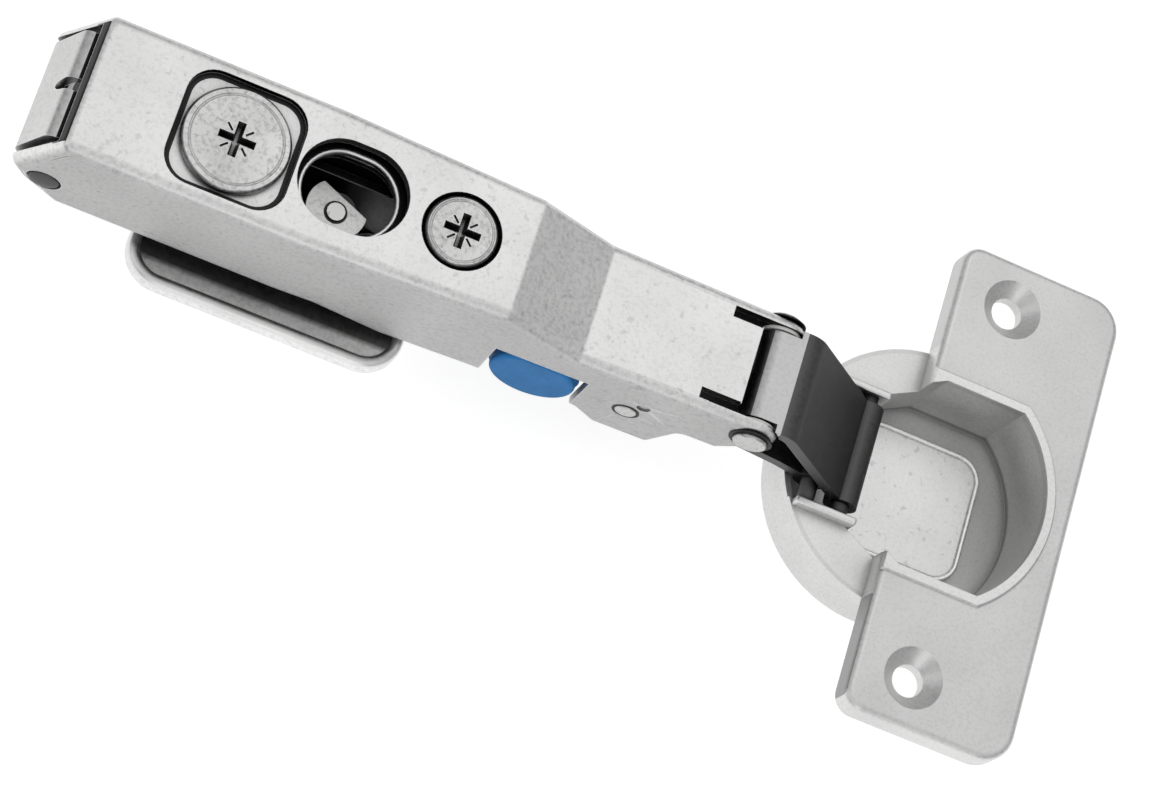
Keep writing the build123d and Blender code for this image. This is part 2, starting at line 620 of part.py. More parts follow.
# ------------------------------------------------------------------ hinge cup
# One casting, drawn in the plane of the flange's top: u along the arm, v across it.
with BuildPart() as hinge_cup:
    with BuildSketch(CUP_PLANE.offset(-CUP_DEPTH)):
        Circle(CUP_RADIUS)
    extrude(amount=CUP_DEPTH - FLANGE_SHEET)
    floor_rim = hinge_cup.edges().filter_by(GeomType.CIRCLE).sort_by(Axis.Z)[0]
    fillet(floor_rim, radius=CUP_FLOOR_RADIUS)
    with BuildSketch(CUP_PLANE.offset(-FLANGE_SHEET)) as flange:
        with Locations(((FLANGE_BACK + FLANGE_FRONT) / 2, 0)):
            Rectangle(FLANGE_FRONT - FLANGE_BACK, FLANGE_LENGTH)
        corners = flange.vertices().group_by(Axis.X)
        fillet(corners[-1], radius=FLANGE_FRONT_CORNER)
        fillet(flange.vertices().group_by(Axis.X)[0], radius=FLANGE_BACK_CORNER)
    extrude(amount=FLANGE_SHEET)
    flange_top = hinge_cup.faces().sort_by(lambda f: (f.center() - CUP_PLANE.origin).dot(
        CUP_PLANE.z_dir))[-1]
    fillet(flange_top.edges(), radius=FLANGE_EDGE_RADIUS)
    # raised band round the pocket
    with BuildSketch(CUP_PLANE) as band:
        Circle(POCKET_RADIUS + RIM_WIDTH)
        with Locations((FLANGE_BACK, 0)):
            Rectangle(BEYOND, 2 * (POCKET_HALF_WIDTH + RIM_WIDTH), align=(Align.MIN, Align.CENTER),
                      mode=Mode.INTERSECT)
    extrude(amount=RIM_HEIGHT, taper=RIM_SLOPE)
    # pocket: round at the front, straight sides, drawn in to the neck
    with BuildSketch(CUP_PLANE.offset(POCKET_FLOOR)) as pocket:
        with BuildLine():
            Polyline(
                (CUP_RADIUS, POCKET_HALF_WIDTH),
                (POCKET_STRAIGHT_END, POCKET_HALF_WIDTH),
                (NECK_START, NECK_HALF_WIDTH),
                (-CUP_RADIUS, NECK_HALF_WIDTH),
                (-CUP_RADIUS, -NECK_HALF_WIDTH),
                (NECK_START, -NECK_HALF_WIDTH),
                (POCKET_STRAIGHT_END, -POCKET_HALF_WIDTH),
                (CUP_RADIUS, -POCKET_HALF_WIDTH),
                close=True,
            )
        make_face()
        flares = pocket.vertices().filter_by(lambda v: v.X < CUP_X + POCKET_STRAIGHT_END + 1)
        flares = flares.filter_by(lambda v: v.X > CUP_X - CUP_RADIUS + 1)
        fillet(flares, radius=POCKET_CORNER)
        Circle(POCKET_RADIUS, mode=Mode.INTERSECT)
    extrude(amount=BEYOND, mode=Mode.SUBTRACT)
    # slot of the neck, out through the wall on the arm's side
    with BuildSketch(CUP_PLANE.offset(NECK_SILL)):
        with Locations((-CUP_RADIUS - 1, 0)):
            Rectangle(CUP_RADIUS + NECK_START + 1, 2 * NECK_HALF_WIDTH,
                      align=(Align.MIN, Align.CENTER))
    extrude(amount=BEYOND, mode=Mode.SUBTRACT)
    # screw holes with their countersinks
    with Locations(CUP_PLANE):
        with Locations((CUP_SCREW_U, -CUP_SCREW_SPACING / 2), (CUP_SCREW_U, CUP_SCREW_SPACING / 2)):
            CounterSinkHole(CUP_SCREW_HOLE_RADIUS, CUP_SCREW_HEAD_RADIUS, depth=FLANGE_SHEET + 1,
                            counter_sink_angle=SCREW_CONE)
    # blind seats of the two cup pins
    with BuildSketch(Plane.XZ):
        with Locations((OUTER_PIN_X, OUTER_PIN_Z), (INNER_PIN_X, INNER_PIN_Z)):
            Circle(CUP_PIN_RADIUS + PRESS_FIT)
    extrude(amount=NECK_HALF_WIDTH + CUP_PIN_SEAT, both=True, mode=Mode.SUBTRACT)
finish(hinge_cup.part, "hinge_cup")

CUP_PIN_HALF_LENGTH = NECK_HALF_WIDTH + CUP_PIN_SEAT - FACE_GAP
finish(cross_pin(OUTER_PIN_X, OUTER_PIN_Z, CUP_PIN_RADIUS, CUP_PIN_HALF_LENGTH), "outer_cup_pin")
finish(cross_pin(INNER_PIN_X, INNER_PIN_Z, CUP_PIN_RADIUS, CUP_PIN_HALF_LENGTH), "inner_cup_pin")

# pressed plate on the floor of the cup
with BuildPart() as cup_plate:
    with BuildSketch(CUP_PLANE.offset(POCKET_FLOOR)) as plate_outline:
        with Locations((CUP_PLATE_START + CUP_PLATE_LENGTH / 2, 0)):
            Rectangle(CUP_PLATE_LENGTH, 2 * CUP_PLATE_HALF_WIDTH)
        fillet(plate_outline.vertices().group_by(Axis.X)[-1], radius=CUP_PLATE_CORNER)
    extrude(amount=CUP_PLATE_HEIGHT)
    plate_top = cup_plate.faces().sort_by(Axis.Z)[-1]
    fillet(plate_top.edges(), radius=CUP_PLATE_HEIGHT * CUP_PLATE_ROUNDING)
finish(cup_plate.part, "cup_plate")

# ------------------------------------------------------------------ mounting plate
with BuildPart() as mounting_plate:
    with BuildSketch(Plane.XY):
        RectangleRounded(PLATE_LENGTH, PLATE_WIDTH, PLATE_CORNER)
    extrude(amount=PLATE_SHEET)
    fillet(mounting_plate.faces().sort_by(Axis.Z)[-1].edges(), radius=PLATE_SHEET * PLATE_ROUNDING)
    with Locations(Plane.XY.offset(PLATE_SHEET)):
        with GridLocations(PLATE_SCREW_SPACING, 0, 2, 1):
            CounterSinkHole(PLATE_SCREW_HOLE_RADIUS, PLATE_SCREW_HEAD_RADIUS,
                            counter_sink_angle=SCREW_CONE)
    with BuildSketch(Plane.XY):
        with Locations((HEIGHT_CAM_X, 0)):
            Circle(HEIGHT_CAM_STUB_RADIUS + PIN_FIT)
        with GridLocations(RIVET_SPACING, 0, 2, 1):
            Circle(RIVET_RADIUS + PRESS_FIT)
    extrude(amount=BEYOND, mode=Mode.SUBTRACT)
finish(mounting_plate.part, "mounting_plate")

# the saddle slides under the heads of these two
with BuildPart() as saddle_rivets:
    with BuildSketch(Plane.XY):
        with GridLocations(RIVET_SPACING, 0, 2, 1):
            Circle(RIVET_RADIUS)
    extrude(amount=SADDLE_FLOOR_TOP + FACE_GAP)
    with BuildSketch(Plane.XY.offset(SADDLE_FLOOR_TOP + FACE_GAP)):
        with GridLocations(RIVET_SPACING, 0, 2, 1):
            Circle(RIVET_HEAD_RADIUS)
    extrude(amount=RIVET_HEAD_HEIGHT)
    fillet(saddle_rivets.edges().group_by(Axis.Z)[-1], radius=RIVET_HEAD_HEIGHT * HEAD_ROUNDING)
finish(saddle_rivets.part, "saddle_rivets")

# ------------------------------------------------------------------ height cam
HEIGHT_DISC_X = HEIGHT_CAM_X - HEIGHT_CAM_OFFSET
with BuildPart() as height_cam_screw:
    with BuildSketch(Plane.XY):
        with Locations((HEIGHT_CAM_X, 0)):
            Circle(HEIGHT_CAM_STUB_RADIUS)
    extrude(amount=SADDLE_UNDER)
    with BuildSketch(Plane.XY.offset(SADDLE_UNDER)):
        with Locations((HEIGHT_DISC_X, 0)):
            Circle(HEIGHT_CAM_DISC_RADIUS)
    extrude(amount=SADDLE_SHEET + FACE_GAP)
    with BuildSketch(Plane.XY.offset(SADDLE_FLOOR_TOP + FACE_GAP)):
        with Locations((HEIGHT_CAM_X, 0)):
            Circle(HEIGHT_CAM_POST_RADIUS)
    extrude(amount=HEIGHT_CAM_TOP - SADDLE_FLOOR_TOP - FACE_GAP)
    chamfer(height_cam_screw.edges().group_by(Axis.Z)[-1], length=EDGE_BREAK)
    with BuildSketch(Plane.XY.offset(HEIGHT_CAM_TOP)):
        with Locations((HEIGHT_CAM_X, 0)):
            Rectangle(HEIGHT_CAM_CROSS, HEIGHT_CAM_CROSS_WIDTH)
            Rectangle(HEIGHT_CAM_CROSS_WIDTH, HEIGHT_CAM_CROSS)
    extrude(amount=-CROSS_DEPTH, mode=Mode.SUBTRACT)
finish(height_cam_screw.part, "height_cam_screw")

# ------------------------------------------------------------------ saddle
SADDLE_LENGTH = SADDLE_FRONT - SADDLE_REAR
SADDLE_MIDDLE = (SADDLE_FRONT + SADDLE_REAR) / 2
CAM_SLOT_LENGTH = 2 * (HEIGHT_CAM_DISC_RADIUS + SIDE_GAP) + HEIGHT_CAM_OFFSET
with BuildPart() as plate_saddle:
    with BuildSketch(Plane.XZ):
        with BuildLine():
            Polyline(
                (SADDLE_REAR, SADDLE_UNDER),
                (SADDLE_FRONT, SADDLE_UNDER),
                (SADDLE_FRONT, HOOK_PIN_Z + SADDLE_FRONT_RISE),
                (SADDLE_FRONT - SADDLE_FRONT_SLOPE, SADDLE_TOP),
                (SADDLE_REAR + SADDLE_REAR_SLOPE, SADDLE_TOP),
                (REAR_STUD_X - SADDLE_EAR_REACH, REAR_STUD_Z + SADDLE_EAR_RISE),
                (REAR_STUD_X - SADDLE_EAR_REACH, REAR_STUD_Z - SADDLE_EAR_DROP),
                (SADDLE_REAR, SADDLE_UNDER + SADDLE_REAR_FOOT),
                close=True,
            )
        make_face()
    extrude(amount=SADDLE_HALF_WIDTH, both=True)
    fillet(plate_saddle.edges().filter_by(Axis.Y).group_by(Axis.Z)[-1], radius=SADDLE_CORNER)
    feet = plate_saddle.edges().filter_by(Axis.X).group_by(Axis.Z)[0]
    fillet(feet, radius=SADDLE_SHEET)
    # hollow of the channel
    with BuildSketch(Plane.XY.offset(SADDLE_FLOOR_TOP)):
        with Locations((SADDLE_MIDDLE, 0)):
            Rectangle(SADDLE_LENGTH + BEYOND, 2 * SADDLE_INNER)
    extrude(amount=BEYOND, mode=Mode.SUBTRACT)
    # windows over the plate's screws, slots of the rivets and of the cam's disc
    with BuildSketch(Plane.XY):
        with GridLocations(PLATE_SCREW_SPACING, 0, 2, 1):
            Circle(PLATE_SCREW_HEAD_RADIUS + SIDE_GAP)
        with GridLocations(RIVET_SPACING, 0, 2, 1):
            SlotOverall(2 * (HEIGHT_TRAVEL + RIVET_RADIUS + SIDE_GAP), 2 * (RIVET_RADIUS + FACE_GAP),
                        rotation=90)
        with Locations((HEIGHT_CAM_X - HEIGHT_CAM_OFFSET * CAM_SWEEP, 0)):
            SlotOverall(CAM_SLOT_LENGTH, 2 * (HEIGHT_CAM_DISC_RADIUS + SIDE_GAP))
    extrude(amount=BEYOND, mode=Mode.SUBTRACT)
    # open hook of the front pin, bore of the rear stud
    with BuildSketch(Plane.XZ):
        with Locations((HOOK_PIN_X, HOOK_PIN_Z)):
            Circle(HOOK_PIN_RADIUS + PIN_FIT)
            Rectangle(BEYOND, 2 * (HOOK_PIN_RADIUS + PIN_FIT), align=(Align.MIN, Align.CENTER))
        with Locations((REAR_STUD_X, REAR_STUD_Z)):
            Circle(REAR_STUD_RADIUS + PRESS_FIT)
    extrude(amount=BEYOND, both=True, mode=Mode.SUBTRACT)
finish(plate_saddle.part, "plate_saddle")

finish(
    cross_pin(REAR_STUD_X, REAR_STUD_Z, REAR_STUD_RADIUS, SADDLE_HALF_WIDTH - FACE_GAP / 2),
    "saddle_rear_pin",
)

# ------------------------------------------------------------------ adapter
with BuildPart() as arm_adapter:
    with BuildSketch(Plane.XZ):
        with BuildLine():
            Polyline(
                (ADAPTER_WEB_REAR, WEB_TOP),
                (ADAPTER_FRONT, WEB_TOP),
                (ADAPTER_FRONT, ADAPTER_FOOT + ADAPTER_FRONT_RISE),
                (ADAPTER_FRONT - ADAPTER_FRONT_SLOPE, ADAPTER_FOOT),
                (ADAPTER_REAR + ADAPTER_REAR_SLOPE, ADAPTER_FOOT),
                (ADAPTER_REAR, ADAPTER_FOOT + ADAPTER_REAR_RISE),
                (ADAPTER_REAR, WEB_TOP - ADAPTER_REAR_DROP),
                close=True,
            )
        make_face()
    extrude(amount=ADAPTER_HALF_WIDTH, both=True)
    fillet(arm_adapter.edges().filter_by(Axis.X).group_by(Axis.Z)[-1], radius=ADAPTER_SHEET)
    with BuildSketch(Plane.XY.offset(WEB_UNDER)):
        Rectangle(2 * BEYOND, 2 * ADAPTER_INNER)
    extrude(amount=-BEYOND, mode=Mode.SUBTRACT)
    # the walls run on behind the web, open at the top
    with BuildSketch(Plane.XY):
        with Locations((ADAPTER_WEB_REAR, 0)):
            Rectangle(BEYOND, 2 * ADAPTER_INNER, align=(Align.MAX, Align.CENTER))
    extrude(amount=BEYOND, mode=Mode.SUBTRACT)
    # slots of the depth cam, the driver and the side screw's foot
    with BuildSketch(Plane.XY):
        with Locations((DEPTH_CAM_X, DEPTH_CAM_OFFSET * CAM_SWEEP)):
            SlotOverall(
                2 * (DEPTH_CAM_DISC_RADIUS + SIDE_GAP) + DEPTH_CAM_OFFSET * CAM_SWEEP,
                2 * (DEPTH_CAM_DISC_RADIUS + SIDE_GAP),
                rotation=90,
            )
        with Locations((HEIGHT_CAM_X, 0)):
            SlotCenterToCenter(DRIVER_SLOT_STRETCH, 2 * SLIDE_OPENING_RADIUS)
        with Locations((SIDE_SCREW_X, 0)):
            SlotCenterToCenter(2 * DEPTH_TRAVEL, 2 * (SIDE_SCREW_FOOT_RADIUS + SIDE_GAP))
        with Locations((GUIDE_RIVET_X, 0)):
            Circle(RIVET_RADIUS + PRESS_FIT)
    extrude(amount=BEYOND, mode=Mode.SUBTRACT)
    with BuildSketch(Plane.XZ):
        with Locations((HOOK_PIN_X, HOOK_PIN_Z)):
            Circle(HOOK_PIN_RADIUS + PRESS_FIT)
        with Locations((LEVER_PIN_X, LEVER_PIN_Z)):
            Circle(LEVER_PIN_RADIUS + PRESS_FIT)
    extrude(amount=BEYOND, both=True, mode=Mode.SUBTRACT)
finish(arm_adapter.part, "arm_adapter")

finish(
    cross_pin(HOOK_PIN_X, HOOK_PIN_Z, HOOK_PIN_RADIUS, ADAPTER_HALF_WIDTH - FACE_GAP / 2),
    "adapter_hook_pin",
)
finish(
    cross_pin(LEVER_PIN_X, LEVER_PIN_Z, LEVER_PIN_RADIUS, ADAPTER_HALF_WIDTH - FACE_GAP / 2),
    "release_lever_pin",
)

# guides the slide plate on the adapter's web
with BuildPart() as slide_guide_rivet:
    with BuildSketch(Plane.XY.offset(WEB_UNDER)):
        with Locations((GUIDE_RIVET_X, 0)):
            Circle(RIVET_RADIUS)
    extrude(amount=SLIDE_TOP + FACE_GAP - WEB_UNDER)
    with BuildSketch(Plane.XY.offset(SLIDE_TOP + FACE_GAP)):
        with Locations((GUIDE_RIVET_X, 0)):
            Circle(GUIDE_RIVET_HEAD_RADIUS)
    extrude(amount=RIVET_HEAD_HEIGHT / 2)
finish(slide_guide_rivet.part, "slide_guide_rivet")

# ------------------------------------------------------------------ depth slide
with BuildPart() as depth_slide_plate:
    with BuildSketch(Plane.XY.offset(SLIDE_UNDER)) as slide_outline:
        with Locations(((SLIDE_REAR + SLIDE_FRONT) / 2, 0)):
            Rectangle(SLIDE_FRONT - SLIDE_REAR, 2 * ADAPTER_HALF_WIDTH)
        fillet(slide_outline.vertices(), radius=SLIDE_CORNER)
        with Locations((DEPTH_CAM_X, 0)):
            Circle(DEPTH_CAM_NECK_RADIUS + FACE_GAP, mode=Mode.SUBTRACT)
        with Locations((HEIGHT_CAM_X, 0)):
            SlotCenterToCenter(SLIDE_SLOT_STRETCH, 2 * SLIDE_OPENING_RADIUS, mode=Mode.SUBTRACT)
        with Locations((SIDE_SCREW_X, 0)):
            Circle(SIDE_SCREW_NECK_RADIUS + PIN_FIT, mode=Mode.SUBTRACT)
        with Locations((GUIDE_RIVET_X, 0)):
            SlotOverall(2 * (DEPTH_TRAVEL + RIVET_RADIUS + SIDE_GAP), 2 * (RIVET_RADIUS + FACE_GAP),
                        mode=Mode.SUBTRACT)
    extrude(amount=SLIDE_SHEET)
finish(depth_slide_plate.part, "depth_slide_plate")

# ------------------------------------------------------------------ depth cam
DEPTH_CAM_FOOT = WEB_UNDER - FACE_GAP
with BuildPart() as depth_cam_screw:
    with BuildSketch(Plane.XY.offset(SEAT_FLOOR + FACE_GAP / 2)):
        with Locations((DEPTH_CAM_X, 0)):
            Circle(DEPTH_CAM_HEAD_RADIUS)
    extrude(amount=SEAT_DEPTH + SCREW_STAND - FACE_GAP / 2)
    chamfer(depth_cam_screw.edges().group_by(Axis.Z)[-1], length=EDGE_BREAK)
    with BuildSketch(Plane.XY.offset(WEB_TOP + 2 * FACE_GAP)):
        with Locations((DEPTH_CAM_X, 0)):
            Circle(DEPTH_CAM_NECK_RADIUS)
    extrude(amount=SEAT_FLOOR - WEB_TOP)
    with BuildSketch(Plane.XY.offset(DEPTH_CAM_FOOT)):
        with Locations((DEPTH_CAM_X, DEPTH_CAM_OFFSET)):
            Circle(DEPTH_CAM_DISC_RADIUS)
    extrude(amount=WEB_TOP + 3 * FACE_GAP - DEPTH_CAM_FOOT)
    add(cross_recess(DEPTH_CAM_X, 0, ARM_TOP + SCREW_STAND), mode=Mode.SUBTRACT)
finish(depth_cam_screw.part, "depth_cam_screw")

with BuildPart() as cam_washer:
    with BuildSketch(Plane.XY.offset(DEPTH_CAM_FOOT)):
        with Locations((DEPTH_CAM_X, DEPTH_CAM_OFFSET)):
            Circle(ADAPTER_INNER - DEPTH_CAM_OFFSET - SIDE_GAP)
    extrude(amount=-SLIDE_SHEET / 2)
finish(cam_washer.part, "cam_washer")

# ------------------------------------------------------------------ side screw
SIDE_SCREW_FOOT_TOP = SLIDE_UNDER - FACE_GAP / 2
with BuildPart() as side_adjust_screw:
    with BuildSketch(Plane.XY.offset(SLIDE_TOP + FACE_GAP)):
        with Locations((SIDE_SCREW_X, 0)):
            Circle(SIDE_SCREW_RADIUS)
    extrude(amount=ARM_TOP + SCREW_STAND - SLIDE_TOP - FACE_GAP)
    chamfer(side_adjust_screw.edges().group_by(Axis.Z)[-1], length=EDGE_BREAK)
    with BuildSketch(Plane.XY.offset(SIDE_SCREW_FOOT_TOP)):
        with Locations((SIDE_SCREW_X, 0)):
            Circle(SIDE_SCREW_NECK_RADIUS)
    extrude(amount=SLIDE_TOP + FACE_GAP - SIDE_SCREW_FOOT_TOP)
    with BuildSketch(Plane.XY.offset(SIDE_SCREW_FOOT_TOP)):
        with Locations((SIDE_SCREW_X, 0)):
            Circle(SIDE_SCREW_FOOT_RADIUS)
    extrude(amount=-ADAPTER_SHEET * 0.8)
    add(cross_recess(SIDE_SCREW_X, 0, ARM_TOP + SCREW_STAND), mode=Mode.SUBTRACT)
finish(side_adjust_screw.part, "side_adjust_screw")

# ------------------------------------------------------------------ release lever
# A bent plate with two thumb lobes and two cheeks that hook under the rear stud.
LEVER_LIP_Z = WEB_TOP + LEVER_LIP_RISE
LEVER_BACK_X = ARM_REAR - EAR_REACH + SPRING_WIRE
CHEEK_INNER = LEVER_CHEEK_HALF_WIDTH - LEVER_CHEEK_SHEET
HOOK_TOP = REAR_STUD_Z - REAR_STUD_RADIUS - 2 * FACE_GAP
HOOK_UNDER = HOOK_TOP - LEVER_HOOK_SHEET
with BuildPart() as release_lever:
    with BuildSketch(Plane.XZ):
        with BuildLine():
            FilletPolyline(
                (ARM_REAR + FACE_GAP, LEVER_LIP_Z),
                (ARM_REAR + FACE_GAP - LEVER_LIP_LENGTH, LEVER_LIP_Z),
                (LEVER_BACK_X, EAR_HEIGHT),
                (LEVER_BACK_X + LEVER_HEEL_RUN, EAR_HEIGHT - LEVER_HEEL_DROP),
                (ARM_REAR - LEVER_FOOT_RUN, EAR_HEIGHT - LEVER_FOOT_DROP),
                radius=LEVER_BEND,
            )
        trace(line_width=LEVER_SHEET)
    extrude(amount=LEVER_HALF_WIDTH, both=True)
    # slit between the two lobes
    with BuildSketch(Plane.XY):
        with Locations((ARM_REAR + LEVER_FOOT_RUN, 0)):
            SlotOverall(LEVER_SLIT_LENGTH, LEVER_SLIT)
    extrude(amount=BEYOND, mode=Mode.SUBTRACT)
    with BuildSketch(Plane.XZ):
        with BuildLine():
            Polyline(
                (LEVER_BACK_X + LEVER_SHEET / 2, EAR_HEIGHT + LEVER_FOOT_RUN),
                (LEVER_PIN_X, LEVER_PIN_Z + LEVER_EYE_RADIUS),
                (LEVER_PIN_X + LEVER_EYE_RADIUS, LEVER_PIN_Z),
                (REAR_STUD_X - LEVER_HOOK_ROOT, HOOK_TOP),
                (REAR_STUD_X + LEVER_HOOK_REACH, HOOK_TOP),
                (REAR_STUD_X + LEVER_HOOK_REACH, HOOK_UNDER),
                (REAR_STUD_X - LEVER_HOOK_HEEL, HOOK_UNDER),
                (ARM_REAR - LEVER_FOOT_RUN, EAR_HEIGHT - LEVER_FOOT_DROP + LEVER_SHEET / 6),
                (LEVER_BACK_X + LEVER_HEEL_RUN, EAR_HEIGHT - LEVER_HEEL_DROP + LEVER_SHEET / 6),
                close=True,
            )
        make_face()
    extrude(amount=LEVER_CHEEK_HALF_WIDTH, both=True)
    with BuildSketch(Plane.XY):
        with Locations((LEVER_BACK_X + 2 * LEVER_SHEET, 0)):
            Rectangle(BEYOND, 2 * CHEEK_INNER, align=(Align.MIN, Align.CENTER))
    extrude(amount=LEVER_PIN_Z + LEVER_EYE_RADIUS + 1, mode=Mode.SUBTRACT)
    with BuildSketch(Plane.XZ):
        with Locations((LEVER_PIN_X, LEVER_PIN_Z)):
            Circle(LEVER_PIN_RADIUS + PIN_FIT)
    extrude(amount=BEYOND, both=True, mode=Mode.SUBTRACT)
finish(release_lever.part, "release_lever")


def leg_spring(x, z, y_start, y_end, coil_radius, wire, turns, leg_ends):
    """A leg spring: a coil round an axis across the hinge, with two straight legs."""
    length = abs(y_end - y_start)
    axis = Plane(origin=(x, y_start, z), x_dir=(0, 0, 1), z_dir=(0, (y_end - y_start) / length, 0))
    coil = axis.from_local_coords(
        Helix(length / turns, length, coil_radius, lefthand=y_end < y_start)
    )
    with BuildPart() as spring:
        with BuildSketch(Plane(origin=coil @ 0, z_dir=coil % 0)):
            Circle(wire / 2)
        sweep(path=coil, is_frenet=True)
        for end, tip in zip((0, 1), leg_ends):
            root = coil @ end
            reach = Vector(tip[0], root.Y, tip[1]) - root
            overlap = reach.normalized() * wire / 3
            with BuildSketch(Plane(origin=root - overlap, z_dir=reach)):
                Circle(wire / 2 * LEG_SLIMMING)
            extrude(amount=(reach + overlap).length)
            with Locations(root):
                Sphere(wire / 2)
    return spring.part


finish(
    leg_spring(
        LEVER_PIN_X, LEVER_PIN_Z, -CHEEK_INNER + SPRING_WIRE, CHEEK_INNER - SPRING_WIRE,
        LEVER_SPRING_RADIUS, SPRING_WIRE, LEVER_SPRING_TURNS,
        (
            (LEVER_BACK_X + LEVER_SHEET + LEVER_SPRING_HEEL, LEVER_PIN_Z + LEVER_SPRING_RADIUS),
            (ADAPTER_WEB_REAR + LEVER_SPRING_TOE, WEB_UNDER - SPRING_WIRE / 2 - FACE_GAP),
        ),
    ),
    "release_lever_spring",
)

# ------------------------------------------------------------------ damper
DAMPER_INNER = arm_half_width(DAMPER_X) - ARM_SHEET
DAMPER_NECK = REAR_EYE_HALF_WIDTH + SIDE_GAP
with BuildPart() as damper_housing:
    with BuildSketch(Plane.XZ.offset(DAMPER_NECK)):
        with Locations((DAMPER_X, DAMPER_Z)):
            Circle(DAMPER_RADIUS)
    extrude(amount=DAMPER_INNER - DAMPER_NECK - FACE_GAP)
    # boss that fills the window of the near wall
    with BuildSketch(Plane.XZ.offset(DAMPER_INNER - FACE_GAP)):
        with Locations((DAMPER_X, DAMPER_Z)):
            Circle(DAMPER_RADIUS - SIDE_GAP)
        with Locations((DAMPER_X, DAMPER_WINDOW_TOP - SIDE_GAP)):
            Rectangle(3 * DAMPER_RADIUS, 3 * DAMPER_RADIUS, align=(Align.CENTER, Align.MAX),
                      mode=Mode.INTERSECT)
    extrude(amount=ARM_SHEET)
    fillet(damper_housing.faces().sort_by(Axis.Y)[0].edges(), radius=DAMPER_EDGE_RADIUS)
    with BuildSketch(Plane.XZ.offset(DAMPER_NECK)):
        with Locations((DAMPER_X, DAMPER_Z)):
            Circle(DAMPER_AXLE_RADIUS)
    extrude(amount=-(DAMPER_NECK + DAMPER_INNER + ARM_SHEET / 2))
finish(damper_housing.part, "damper_housing")

# rotor on the damper's axle; the inner link's tail lifts its paddle as the door closes
with BuildPart() as damper_rotor:
    with BuildSketch(Plane.XZ.offset(-DAMPER_INNER + FACE_GAP)):
        with Locations((DAMPER_X, DAMPER_Z)):
            Circle(ROTOR_RADIUS)
    extrude(amount=DAMPER_INNER - FACE_GAP + DAMPER_NECK - FACE_GAP)
    with BuildSketch(Plane.XZ):
        with BuildLine():
            PolarLine((DAMPER_X, DAMPER_Z), PADDLE_LENGTH, angle=PADDLE_ANGLE)
        trace(line_width=PADDLE_THICKNESS)
    extrude(amount=PADDLE_HALF_WIDTH, both=True)
    with BuildSketch(Plane.XZ):
        with Locations((DAMPER_X, DAMPER_Z)):
            Circle(DAMPER_AXLE_RADIUS + PIN_FIT)
    extrude(amount=BEYOND, both=True, mode=Mode.SUBTRACT)
finish(damper_rotor.part, "damper_rotor")

# ------------------------------------------------------------------ closing spring
# Two coils on the rear pin, beside the inner link's eye; each has one leg up under
# the roof and one on the top of the link.
REAR_INNER = arm_half_width(REAR_PIN_X) - ARM_SHEET
COIL_START = REAR_EYE_HALF_WIDTH + SIDE_GAP + CLOSING_WIRE / 2
COIL_END = REAR_INNER - FACE_GAP - CLOSING_WIRE / 2
CLOSING_TOE_X = INNER_LINK_NECK_X + CLOSING_TOE
CLOSING_TOE_Z = (
    REAR_PIN_Z - LINK_FALL * (CLOSING_TOE_X - REAR_PIN_X)
    + INNER_LINK_SHEET / 2 + CLOSING_WIRE / 2 + SIDE_GAP
)
closing_coils = []
for side in (-1, 1):
    closing_coils.append(
        leg_spring(
            REAR_PIN_X, REAR_PIN_Z, side * COIL_START, side * COIL_END,
            CLOSING_COIL_RADIUS, CLOSING_WIRE, CLOSING_COIL_TURNS,
            (
                (CLOSING_TOE_X, CLOSING_TOE_Z),
                (REAR_PIN_X - CLOSING_HEEL, NOSE_UNDER - CLOSING_WIRE / 2 - FACE_GAP),
            ),
        )
    )
finish(Compound(children=closing_coils), "closing_spring")
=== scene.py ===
# %% [markdown]
# # A concealed cup hinge
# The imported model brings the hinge's steel and plastic parts, each in its place and to size.
# This lesson gives them their finishes, adds the small detail that a turned, pressed or
# moulded part has, and puts the hinge under soft studio light. Three ways of working do it:
# node materials, boolean cuts into copied parts, and small forms grown by Geometry Nodes.

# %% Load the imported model
import json
import math

import bmesh
import bpy
from mathutils import Euler, Matrix, Vector


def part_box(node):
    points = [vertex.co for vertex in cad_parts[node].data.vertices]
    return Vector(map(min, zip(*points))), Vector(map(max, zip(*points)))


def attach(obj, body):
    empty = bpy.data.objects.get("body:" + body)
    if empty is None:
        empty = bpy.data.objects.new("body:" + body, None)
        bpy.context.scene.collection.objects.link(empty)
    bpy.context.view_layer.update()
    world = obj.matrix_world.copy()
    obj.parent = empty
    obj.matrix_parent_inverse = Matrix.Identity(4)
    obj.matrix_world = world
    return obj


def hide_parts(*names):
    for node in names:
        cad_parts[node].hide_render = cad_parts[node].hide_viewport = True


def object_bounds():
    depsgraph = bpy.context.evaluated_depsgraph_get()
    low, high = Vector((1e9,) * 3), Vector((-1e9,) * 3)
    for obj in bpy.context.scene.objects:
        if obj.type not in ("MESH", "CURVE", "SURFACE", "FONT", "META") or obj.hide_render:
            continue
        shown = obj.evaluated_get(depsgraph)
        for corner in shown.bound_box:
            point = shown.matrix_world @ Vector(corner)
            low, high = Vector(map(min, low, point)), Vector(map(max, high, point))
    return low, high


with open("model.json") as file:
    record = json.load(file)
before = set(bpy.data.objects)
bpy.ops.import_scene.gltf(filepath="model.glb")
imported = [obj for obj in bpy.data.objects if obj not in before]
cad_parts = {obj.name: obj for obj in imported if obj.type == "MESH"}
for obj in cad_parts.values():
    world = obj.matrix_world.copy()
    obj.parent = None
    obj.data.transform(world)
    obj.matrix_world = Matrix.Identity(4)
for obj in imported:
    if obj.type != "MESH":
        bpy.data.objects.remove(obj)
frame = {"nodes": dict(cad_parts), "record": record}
nodes = frame["nodes"]
cad_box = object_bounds()
MM = 0.001
print("nodes:", len(nodes), "box:", cad_box)

